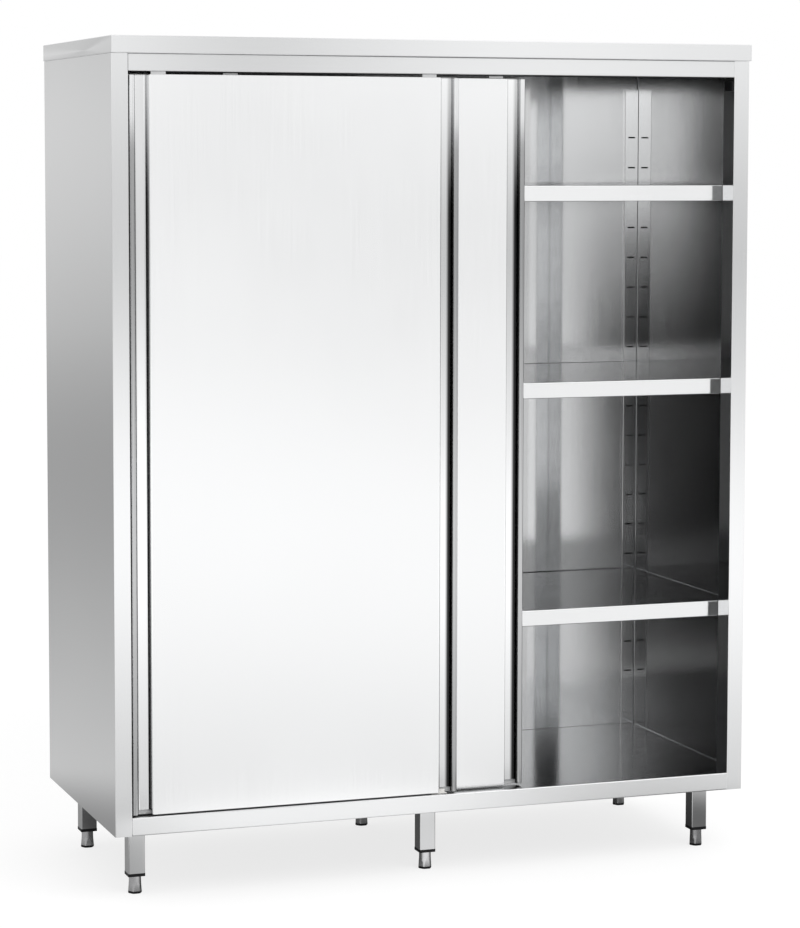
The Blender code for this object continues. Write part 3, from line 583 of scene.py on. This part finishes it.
# A face whose normal reaches this far along an axis looks that way, and faces meet flat below this angle
SQUARE_ON, FLAT_BELOW = 0.9, 0.1


def block(low, high):
    """A plain block between two corners, to be worked on."""
    bm = bmesh.new()
    place = Matrix.Translation((low + high) / 2) @ Matrix.Diagonal((*(high - low), 1))
    bmesh.ops.create_cube(bm, size=1, matrix=place)
    return bm


def tray(low, high, lip, bend):
    """A folded tray that opens downwards, with its bottom edges turned in."""
    bm = block(low, high)
    middle = (low + high) / 2
    bottom = [face for face in bm.faces if face.normal.z < -SQUARE_ON]
    bmesh.ops.delete(bm, geom=bottom, context="FACES_ONLY")
    rim = [edge for edge in bm.edges if edge.is_boundary]
    turned = bmesh.ops.extrude_edge_only(bm, edges=rim)["geom"]
    for vert in (item for item in turned if isinstance(item, bmesh.types.BMVert)):
        vert.co.x += math.copysign(lip, middle.x - vert.co.x)
        vert.co.y += math.copysign(lip, middle.y - vert.co.y)
    bmesh.ops.recalc_face_normals(bm, faces=bm.faces)
    folds = [edge for edge in bm.edges if not edge.is_boundary and edge.calc_face_angle(0) > FLAT_BELOW]
    round_off(bm, folds, bend)
    return bm


def cut(bm, at, square_to, **options):
    """Cuts a mesh through along a plane."""
    whole = bm.verts[:] + bm.edges[:] + bm.faces[:]
    bmesh.ops.bisect_plane(bm, geom=whole, plane_co=at, plane_no=square_to, **options)


def front_edge(bm, behind):
    """Cuts the front edge off a tray, as far as the plane behind it, and gives it back."""
    cut(bm, (0, behind, 0), (0, 1, 0))
    edge = bm.copy()
    for part, side in ((bm, 1), (edge, -1)):
        gone = [face for face in part.faces if (face.calc_center_median().y - behind) * side < 0]
        bmesh.ops.delete(part, geom=gone, context="FACES")
        thicken(part)
    return edge


def dress(look, *names):
    """Gives CAD nodes their finish."""
    for name in names:
        nodes[name].data.materials.clear()
        nodes[name].data.materials.append(look)


# The face of the back panel is painted black behind the pilasters, a painted shade so that their slots look
# deep.
# Its rear side is duller than its face
SLOT_SHADE, SLOT_SHADE_MARGIN = (0.012, 0.012, 0.012, 1), 0.001
FACE_DEPTH, REAR_DEPTH, REAR_DULLS = 0.0005, 0.0009, 0.35
back_steel = sheet_steel("back_steel", (0.94, 0.945, 0.95), 0.09, streak=0.06, sharp=(1, 0, 0))
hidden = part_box("pilaster_rear_right")
tree = back_steel.node_tree
shader = tree.nodes["Principled BSDF"]
place = axes(tree, own_place(tree))
from_middle = sum_node(tree, "ABSOLUTE", place["X"])
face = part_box("back_panel")[0].y
within = sum_node(tree, "LESS_THAN", place["Y"], face + FACE_DEPTH)
within = sum_node(tree, "MULTIPLY", within, sum_node(tree, "LESS_THAN", place["Z"], hidden[1].z))
beyond = sum_node(tree, "GREATER_THAN", from_middle, hidden[0].x + SLOT_SHADE_MARGIN)
within = sum_node(tree, "MULTIPLY", within, beyond)
# Painted shade: the face goes black where it lies behind the pilasters
slot_shade = tree.nodes.new("ShaderNodeMix")
slot_shade.data_type = "RGBA"
slot_shade.inputs["B"].default_value = SLOT_SHADE
tree.links.new(within, slot_shade.inputs["Factor"])
tree.links.new(shader.inputs["Base Color"].links[0].from_socket, slot_shade.inputs["A"])
tree.links.new(slot_shade.outputs["Result"], shader.inputs["Base Color"])
rough = fade(tree, place["Y"], face + FACE_DEPTH, face + REAR_DEPTH, 0.0, REAR_DULLS)
rough = sum_node(tree, "ADD", rough, shader.inputs["Roughness"].links[0].from_socket)
tree.links.new(rough, shader.inputs["Roughness"])
dress(back_steel, "back_panel")
inside(nodes["back_panel"])

floor_steel = sheet_steel("floor_steel", (0.88, 0.885, 0.89), 0.22, ALONG_GRAIN)
# The floor tray inside takes a dark copy of the floor's steel, as painted shade
shaded_tray_steel = sheet_steel("shaded_tray_steel", (0.25, 0.255, 0.26), 0.12, ALONG_GRAIN, brushed=0.3)
dress(floor_steel, "floor_stiffener")
low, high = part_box("floor_panel")
bm = tray(low, high, FLOOR_LIP, FLOOR_BEND)
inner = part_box("header_rail")[1].x
behind_stile = low.y + STILE_DEPTH + FLOOR_NOTCH
cut(bm, (inner, 0, 0), (1, 0, 0))
cut(bm, (-inner, 0, 0), (1, 0, 0))
cut(bm, (0, behind_stile, 0), (0, 1, 0))
notches = [
    face for face in bm.faces
    if abs(face.calc_center_median().x) > inner and face.calc_center_median().y < behind_stile
]
bmesh.ops.delete(bm, geom=notches, context="FACES")
apron = front_edge(bm, low.y + 2 * FOLD)
in_place("floor_apron", apron, floor_steel)
inside(in_place("floor_tray", bm, shaded_tray_steel, stands_for=["floor_panel"]))

# Header rail. A strip between the stiles with its top and bottom edges folded back, spot-welded under
# the top panel. It hides the doors' rollers.
RAIL_RETURN = 0.006
low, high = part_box("header_rail")
section = [
    (high.y, high.z),
    (low.y, high.z),
    (low.y, low.z),
    (high.y, low.z),
    (high.y, low.z + RAIL_RETURN),
]
bm = folded(section, [FOLD] * 3, lambda y, z: (low.x, y, z), (high.x - low.x, 0, 0), (0, 0, 1))
thicken(bm)
rail_steel = sheet_steel("rail_steel", (0.78, 0.785, 0.79), 0.2, ALONG_GRAIN)
in_place("header_strip", bm, rail_steel, stands_for=["header_rail"])

# Top panel. A lid with a 40 mm edge all round that is turned in below. Its corners are welded and
# ground smooth.
TOP_LIP = 0.018
low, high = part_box("top_panel")
bm = tray(low, high, TOP_LIP, FOLD)
thicken(bm)
top_steel = sheet_steel("top_steel", (0.80, 0.805, 0.81), 0.2, ALONG_GRAIN)
in_place("top_lid", bm, top_steel, stands_for=["top_panel"])

# Pilasters. Slotted channels of bright sheet in the four corners, spot-welded to the walls. Small
# bent clips of bright strip hang in their slots.
pilaster_steel = sheet_steel("pilaster_steel", (0.97, 0.975, 0.98), 0.06, brushed=0.0)
dress(pilaster_steel, *(f"pilaster_{row}_{side}" for row in ("front", "rear") for side in ("left", "right")))
inside(nodes["pilaster_front_right"], nodes["pilaster_rear_right"])
clip_steel = sheet_steel("clip_steel", (0.84, 0.84, 0.85), 0.18, (400, 400, 400), 0.04, 0.0, 0.0006)
for shelf in ("lower", "middle", "upper"):
    for row in ("front", "rear"):
        dress(clip_steel, f"shelf_clip_{shelf}_{row}_left", f"shelf_clip_{shelf}_{row}_right")

# Shelves. Three loose trays with 38.5 mm edges, turned in below, and a hat section under each. They
# lie on the clips with a little play all round.
SHELF_LIP = 0.014
HAT_GAP = 0.0001
HAT_RISE, HAT_SLOPE = 0.014, 0.2
HAT_HALF, HAT_BRIM, HAT_END = 0.030, 0.050, 0.030
shelf_steel = sheet_steel("shelf_steel", (0.88, 0.885, 0.89), 0.16, ALONG_GRAIN)
# The trays inside take a dark copy of the shelf steel, as painted shade
shaded_shelf_steel = sheet_steel("shaded_shelf_steel", (0.25, 0.255, 0.26), 0.12, ALONG_GRAIN, brushed=0.3)
shaded_shelf_steel.node_tree.nodes["Principled BSDF"].inputs["Specular Tint"].default_value = (0.5, 0.5, 0.5, 1)
for shelf, body in (("lower", "low_shelf"), ("middle", "mid_shelf"), ("upper", "high_shelf")):
    low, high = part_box(f"{shelf}_shelf")
    bm = tray(low, high, SHELF_LIP, FOLD)
    in_place(f"{shelf}_shelf_front", front_edge(bm, low.y + 2 * FOLD), shelf_steel, body)
    inside(in_place(f"{shelf}_shelf_tray", bm, shaded_shelf_steel, body, [f"{shelf}_shelf"]))
    under = high.z - SHEET - HAT_GAP
    middle = (low.y + high.y) / 2
    crown = HAT_HALF - HAT_RISE * HAT_SLOPE
    section = [
        (middle - HAT_BRIM, under - SHEET),
        (middle - HAT_HALF, under - SHEET),
        (middle - crown, under - HAT_RISE),
        (middle + crown, under - HAT_RISE),
        (middle + HAT_HALF, under - SHEET),
        (middle + HAT_BRIM, under - SHEET),
    ]
    start = low.x + HAT_END
    bm = folded(
        section, [FOLD] * 4, lambda y, z: (start, y, z), (high.x - HAT_END - start, 0, 0), (0, 0, -1)
    )
    thicken(bm)
    in_place(f"{shelf}_shelf_hat", bm, shelf_steel, body)

# Track. One dull aluminium extrusion behind the header with an upturned lip for each door's wheels, cut
# to length and screwed under the top panel.
# Its colour is painted near black, as painted shade behind the header
shaded_track_metal = sheet_steel("shaded_track_metal", (0.06, 0.06, 0.063), 0.45, ALONG_GRAIN, 0.10, 0.0, 0.0006, 0.3)
dress(shaded_track_metal, "door_track")
inside(nodes["door_track"])

# Doors. The outer skin of each is a ground sheet with a fold along its top and bottom. Both upright
# edges are folded on into a grip channel, a round lip and a hem.
LIP_WIDTH, LIP_RADIUS = 0.013, 0.0055
GRIP_ZONE, GRIP_DEPTH, GRIP_SLOPE = 0.0465, 0.018, 0.002
GRIP_BEND = 0.006
HEM, HEM_FACE, HEM_BEND = 0.008, 0.0227, 0.002
GRIP_FOOT = 0.0105
DOOR_FLANGE = 0.009
DOOR_FOLD = 0.0015
# Painted shade in the channel, between these depths behind the door's face and less towards the door's head
CHANNEL_SHADE = 0.97
SHADE_BEGINS, SHADE_ENDS = (0.0025, 0.0045), (0.0145, 0.0180, CHANNEL_SHADE, 0.0)
SHADED_FLOOR_DEPTHS, FLOOR_SHADE = (0.0125, 0.0145), 0.009
SHADE_THINS, SHADE_PAST_HEAD, SHADE_AT_HEAD = 0.32, 0.01, 0.25
# The lip's tone, how softly it starts, and how far below the head it has faded out
LIP_TONE, LIP_BLEND = 0.55, 0.002
LIP_FADES, LIP_CLEAN = 0.18, 0.08


def grip_steel(door, low, high):
    """Bright steel, darker on the lip, with painted shade on the channel's walls and on its floor by the
    lip.
    """
    made = sheet_steel(f"{door}_grip_steel", (0.84, 0.845, 0.85), 0.10, brushed=0.3)
    tree = made.node_tree
    shader = tree.nodes["Principled BSDF"]
    place = axes(tree, own_place(tree))
    depth = sum_node(tree, "SUBTRACT", place["Y"], low.y)
    sideways = sum_node(tree, "SUBTRACT", place["X"], (low.x + high.x) / 2)
    lip_edge = (high.x - low.x) / 2 - LIP_WIDTH
    floor_edge = lip_edge - GRIP_BEND
    # Painted shade on the channel's walls, and on its floor beside the lip, thinner towards the head
    walls = fades(tree, (depth, *SHADE_BEGINS), (depth, *SHADE_ENDS))
    channel_floor = fades(
        tree, (depth, *SHADED_FLOOR_DEPTHS), (sideways, floor_edge - FLOOR_SHADE, floor_edge, 0.0, CHANNEL_SHADE)
    )
    thinner = fade(tree, place["Z"], high.z - SHADE_THINS, high.z + SHADE_PAST_HEAD, 1.0, SHADE_AT_HEAD)
    channel_shade = sum_node(tree, "MULTIPLY", sum_node(tree, "MAXIMUM", walls, channel_floor), thinner)
    # The lip is darker, and this fades out below the head
    lip = fades(
        tree,
        (sum_node(tree, "ABSOLUTE", sideways), lip_edge - LIP_BLEND, lip_edge, 0.0, 1.0 - LIP_TONE),
        (place["Z"], high.z - LIP_FADES, high.z - LIP_CLEAN, 1.0, 0.0),
    )
    left = sum_node(tree, "SUBTRACT", 1.0, sum_node(tree, "MAXIMUM", channel_shade, lip))
    dull = tree.nodes.new("ShaderNodeVectorMath")
    dull.operation = "SCALE"
    tree.links.new(shader.inputs["Base Color"].links[0].from_socket, dull.inputs[0])
    tree.links.new(left, dull.inputs["Scale"])
    tree.links.new(dull.outputs[0], shader.inputs["Base Color"])
    return made


door_steel = sheet_steel("door_steel", (0.925, 0.93, 0.935), 0.22, brushed=0.3)
plated_steel = sheet_steel("plated_steel", (0.70, 0.705, 0.71), 0.3, (60, 60, 60), 0.18, 0.0, 0.0006, 0.0)
# The inner pans glow faintly, a painted light that stands for the light that comes in by the opening and is
# lost
# in the many mirrorings: the glow by X
PAINTED_PAN_GLOW = (-0.9, 0.6, 0.01, 0.045)
glowing_pan_steel = sheet_steel("glowing_pan_steel", (0.66, 0.665, 0.67), 0.38, brushed=0.0)
tree = glowing_pan_steel.node_tree
shader = tree.nodes["Principled BSDF"]
shader.inputs["Metallic"].default_value = 0.4
place = axes(tree, own_place(tree))
# Painted light: the pans glow, more towards +X
tree.links.new(fade(tree, place["X"], *PAINTED_PAN_GLOW), shader.inputs["Emission Color"])
shader.inputs["Emission Strength"].default_value = 1.0
for door in ("front", "rear"):
    low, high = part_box(f"{door}_door_skin")
    body = f"{door}_door"
    seam = GRIP_ZONE + FOLD
    section = [
        (low.y + DOOR_FLANGE, low.z),
        (low.y, low.z),
        (low.y, high.z),
        (low.y + DOOR_FLANGE, high.z),
    ]
    start, end = low.x + seam, high.x - seam
    look = grip_steel(door, low, high)
    bm = folded(section, [DOOR_FOLD] * 2, lambda y, z: (start, y, z), (end - start, 0, 0), (0, 0, -1))
    thicken(bm)
    in_place(f"{door}_door_face", bm, door_steel, body, [f"{door}_door_skin"])
    for side, edge, inward in (("left", low.x, 1), ("right", high.x, -1)):
        section = [
            (HEM, HEM_FACE),
            (0, HEM_FACE),
            (0, 0),
            (LIP_WIDTH, 0),
            (LIP_WIDTH + GRIP_SLOPE, GRIP_DEPTH),
            (GRIP_ZONE - 2 * GRIP_SLOPE, GRIP_DEPTH),
            (GRIP_ZONE, 0),
            (seam, 0),
        ]
        bends = [HEM_BEND, LIP_RADIUS, LIP_RADIUS, GRIP_BEND, GRIP_BEND, NEARLY_FOLD]
        foot, head = low.z + FOLD, high.z - FOLD
        bm = folded(
            section, bends, lambda x, y: (edge + inward * x, low.y + y, foot), (0, 0, head - foot), (0, 1, 0)
        )
        cut(bm, (0, 0, low.z + GRIP_FOOT), (0, 0, 1))
        cut_out = []
        for face in bm.faces:
            centre = face.calc_center_median()
            in_grip = LIP_WIDTH + GRIP_SLOPE / 2 < abs(centre.x - edge) < GRIP_ZONE
            if in_grip and centre.z < low.z + GRIP_FOOT and centre.y > low.y + 2 * SHEET:
                cut_out.append(face)
        bmesh.ops.delete(bm, geom=cut_out, context="FACES")
        thicken(bm)
        in_place(f"{door}_door_grip_{side}", bm, look, body)
    dress(glowing_pan_steel, f"{door}_door_inner_pan")
    dress(plated_steel, f"{door}_door_hanger_left", f"{door}_door_hanger_right")
    inside(nodes[f"{door}_door_inner_pan"])

# Wheels. Turned from white nylon, with a groove that sits on the track's lip, one on the axle of each
# hanger. The guide on the floor, whose fins run in the doors' slots, is of the same nylon.
NYLON_SHADES = ((0.78, 0.77, 0.74, 1), (0.84, 0.83, 0.81, 1))
SHADE_PATTERN, NYLON_GRAIN, NYLON_POLISH = (300, 3), (1500, 2), (220, 3)
NYLON_GRAIN_RISE = 0.00005
NYLON_ROUGH, NYLON_UNEVEN = 0.38, 0.2
nylon, tree, shader = new_look("white_nylon")
place = own_place(tree)
shade = tree.nodes.new("ShaderNodeMix")
shade.data_type = "RGBA"
shade.inputs["A"].default_value, shade.inputs["B"].default_value = NYLON_SHADES
bump = tree.nodes.new("ShaderNodeBump")
bump.inputs["Distance"].default_value = NYLON_GRAIN_RISE
tree.links.new(noise(tree, place, *SHADE_PATTERN), shade.inputs["Factor"])
tree.links.new(noise(tree, place, *NYLON_GRAIN), bump.inputs["Height"])
rough = sum_node(tree, "MULTIPLY_ADD", noise(tree, place, *NYLON_POLISH), NYLON_UNEVEN, NYLON_ROUGH)
tree.links.new(rough, shader.inputs["Roughness"])
wire(tree, (shade, "Result", shader, "Base Color"), (bump, "Normal", shader, "Normal"))


WHEEL_STEPS = 48
DOUBLES_WITHIN = 0.00001


def lathe(profile, steps=WHEEL_STEPS):
    """A shape turned about Z from (radius, height) points, closed where the profile meets the axis."""
    bm = bmesh.new()
    verts = [bm.verts.new((radius, 0, height)) for radius, height in profile]
    for pair in zip(verts, verts[1:]):
        bm.edges.new(pair)
    bmesh.ops.spin(
        bm, geom=bm.verts[:] + bm.edges[:], cent=(0, 0, 0), axis=(0, 0, 1), angle=2 * math.pi,
        steps=steps, use_merge=True,
    )
    bmesh.ops.remove_doubles(bm, verts=bm.verts, dist=DOUBLES_WITHIN)
    bmesh.ops.recalc_face_normals(bm, faces=bm.faces)
    return bm


BORE, GROOVE = 0.0043, 0.0115
GROOVE_MOUTH, GROOVE_FLOOR = 0.0026, 0.0016
WHEEL_EDGE = 0.0005
for door in ("front", "rear"):
    for side in ("left", "right"):
        low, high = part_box(f"{door}_door_roller_{side}")
        rim, half = (high.x - low.x) / 2, (high.y - low.y) / 2
        profile = [
            (BORE, half),
            (rim - WHEEL_EDGE, half),
            (rim, half - WHEEL_EDGE),
            (rim, GROOVE_MOUTH),
            (GROOVE, GROOVE_FLOOR),
            (GROOVE, -GROOVE_FLOOR),
            (rim, -GROOVE_MOUTH),
            (rim, -half + WHEEL_EDGE),
            (rim - WHEEL_EDGE, -half),
            (BORE, -half),
            (BORE, half),
        ]
        bm = lathe(profile)
        place = Matrix.Translation((low + high) / 2) @ Matrix.Rotation(math.radians(90), 4, "X")
        bmesh.ops.transform(bm, matrix=place, verts=bm.verts)
        name = f"{door}_door_{side}_wheel"
        in_place(name, bm, nylon, name, [f"{door}_door_roller_{side}"])
dress(nylon, "floor_guide")

# Buffers. Moulded black rubber pads, one glued high on the inside of each stile, where they stop the
# doors.
DUST_REACH = 0.0012
DUST_GAIN, DUST_LEAST = 2.5, 0.02
MOULD_GRAIN, MOULD_POLISH = (1400, 2), (120, 3)
MOULD_GRAIN_RISE = 0.00008
MOULD_UNEVEN, MOULD_GLOSS = 0.25, 0.2


def dark_moulding(name, colour, roughness):
    """Moulded plastic or rubber with a fine sparkle grain and dusty edges."""
    made, tree, shader = new_look(name)
    place = own_place(tree)
    edge = placed(tree, rubbed, Reach=DUST_REACH)
    shader.inputs["Specular IOR Level"].default_value = MOULD_GLOSS
    tone = tree.nodes.new("ShaderNodeMix")
    tone.data_type = "RGBA"
    tone.inputs["A"].default_value = (*colour, 1)
    tone.inputs["B"].default_value = (*(value * DUST_GAIN + DUST_LEAST for value in colour), 1)
    bump = tree.nodes.new("ShaderNodeBump")
    bump.inputs["Distance"].default_value = MOULD_GRAIN_RISE
    tree.links.new(noise(tree, place, *MOULD_GRAIN), bump.inputs["Height"])
    rough = sum_node(tree, "MULTIPLY_ADD", noise(tree, place, *MOULD_POLISH), MOULD_UNEVEN, roughness)
    tree.links.new(rough, shader.inputs["Roughness"])
    wire(
        tree,
        (edge, "Mask", tone, "Factor"),
        (tone, "Result", shader, "Base Color"),
        (bump, "Normal", shader, "Normal"),
    )
    return made


rubber = dark_moulding("black_rubber", (0.009, 0.009, 0.010), 0.5)
dress(rubber, "left_door_buffer", "right_door_buffer")

# Legs. Square stainless tube, 40 mm, with a plate welded on top that is screwed up under the floor.
# Each has a black plastic plug in its lower end.
LEG_HALF, LEG_CORNER, LEG_WALL = 0.020, 0.003, 0.0015
PLATE = 0.003
PLUG_HEAD, PLUG_EDGE = 0.0075, 0.0008
LEVEL_WITHIN = 0.0001
leg_steel = sheet_steel("leg_steel", (0.80, 0.805, 0.81), 0.16)
black_plastic = dark_moulding("black_plastic", (0.010, 0.010, 0.011), 0.28)


def climb(line):
    """How far an edge climbs."""
    return abs(line.verts[0].co.z - line.verts[1].co.z)


def squared(low, high, corner, open_ends=False):
    """A square bar or tube between two corners, with rounded upright edges."""
    bm = block(low, high)
    if open_ends:
        ends = [face for face in bm.faces if abs(face.normal.z) > SQUARE_ON]
        bmesh.ops.delete(bm, geom=ends, context="FACES_ONLY")
    round_off(bm, [line for line in bm.edges if climb(line) > LEVEL_WITHIN], corner)
    return bm


for row in ("front", "rear"):
    for column in ("left", "middle", "right"):
        where = f"{row}_{column}"
        low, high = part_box(f"leg_{where}")
        middle = (low + high) / 2
        tube_low = Vector((middle.x - LEG_HALF, middle.y - LEG_HALF, low.z))
        tube_high = Vector((middle.x + LEG_HALF, middle.y + LEG_HALF, high.z - PLATE))
        bm = squared(tube_low, tube_high, LEG_CORNER, open_ends=True)
        thicken(bm, LEG_WALL)
        in_place(f"leg_tube_{where}", bm, leg_steel, stands_for=[f"leg_{where}"])
        bm = squared(Vector((low.x, low.y, high.z - PLATE)), high, LEG_CORNER)
        in_place(f"leg_top_plate_{where}", bm, leg_steel)
        low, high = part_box(f"leg_insert_{where}")
        high.z = low.z + PLUG_HEAD
        bm = squared(low, high, LEG_CORNER)
        round_off(bm, [line for line in bm.edges if climb(line) < LEVEL_WITHIN], PLUG_EDGE, segments=3)
        in_place(
            f"leg_plug_{where}", bm, black_plastic, stands_for=[f"leg_insert_{where}"]
        )

# Feet. Turned from bright steel, with a round sleeve, six spanner flats that flare to the base and a
# stem that screws up into the plug. A black rubber pad closes the base.
FOOT_TOP, FOOT_PAD = 0.0415, 0.0055
STEM, SLEEVE, SLEEVE_EDGE = 0.005, 0.0143, 0.0005
SLEEVE_FOOT, FLARE_TOP, FLARE, BASE = 0.030, 0.021, 0.0147, 0.016
PAD, PAD_TOP, PAD_TOP_EDGE, PAD_FOOT_EDGE = 0.0165, 0.0163, 0.0006, 0.001
FLATS, TO_FLAT = 6, 0.0146
FOOT_STEPS = 72
foot_steel = sheet_steel("foot_steel", (0.86, 0.86, 0.87), 0.12, (300, 300, 900), 0.06, 0.0, 0.0008)
pad_rubber = dark_moulding("foot_rubber", (0.008, 0.008, 0.009), 0.42)
for row in ("front", "rear"):
    for column in ("left", "middle", "right"):
        where = f"{row}_{column}"
        body = f"levelling_foot_{where}"
        low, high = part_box(f"foot_{where}")
        middle = (low + high) / 2
        steel = [
            (0, high.z),
            (STEM, high.z),
            (STEM, FOOT_TOP),
            (SLEEVE - SLEEVE_EDGE, FOOT_TOP),
            (SLEEVE, FOOT_TOP - SLEEVE_EDGE),
            (SLEEVE, SLEEVE_FOOT),
            (FLARE, FLARE_TOP),
            (BASE, FOOT_PAD),
            (0, FOOT_PAD),
        ]
        pad = [
            (0, FOOT_PAD),
            (PAD_TOP, FOOT_PAD),
            (PAD, FOOT_PAD - PAD_TOP_EDGE),
            (PAD, PAD_FOOT_EDGE),
            (PAD - PAD_FOOT_EDGE, 0),
            (0, 0),
        ]
        parts = (("steel", steel, foot_steel, "bright_steel"), ("pad", pad, pad_rubber, "black_rubber"))
        for part, profile, look, slot in parts:
            bm = lathe(profile, FOOT_STEPS)
            for flat in range(FLATS):
                angle = (flat + 0.5) * 2 * math.pi / FLATS
                facing = Vector((math.cos(angle), math.sin(angle), 0))
                cut(bm, facing * TO_FLAT, facing, clear_outer=True)
                rim = [line for line in bm.edges if line.is_boundary]
                bmesh.ops.holes_fill(bm, edges=rim, sides=0)
            bmesh.ops.translate(bm, vec=(middle.x, middle.y, 0), verts=bm.verts)
            stands_for = [f"foot_{where}"] if part == "steel" else ()
            in_place(f"foot_{part}_{where}", bm, look, body, stands_for)
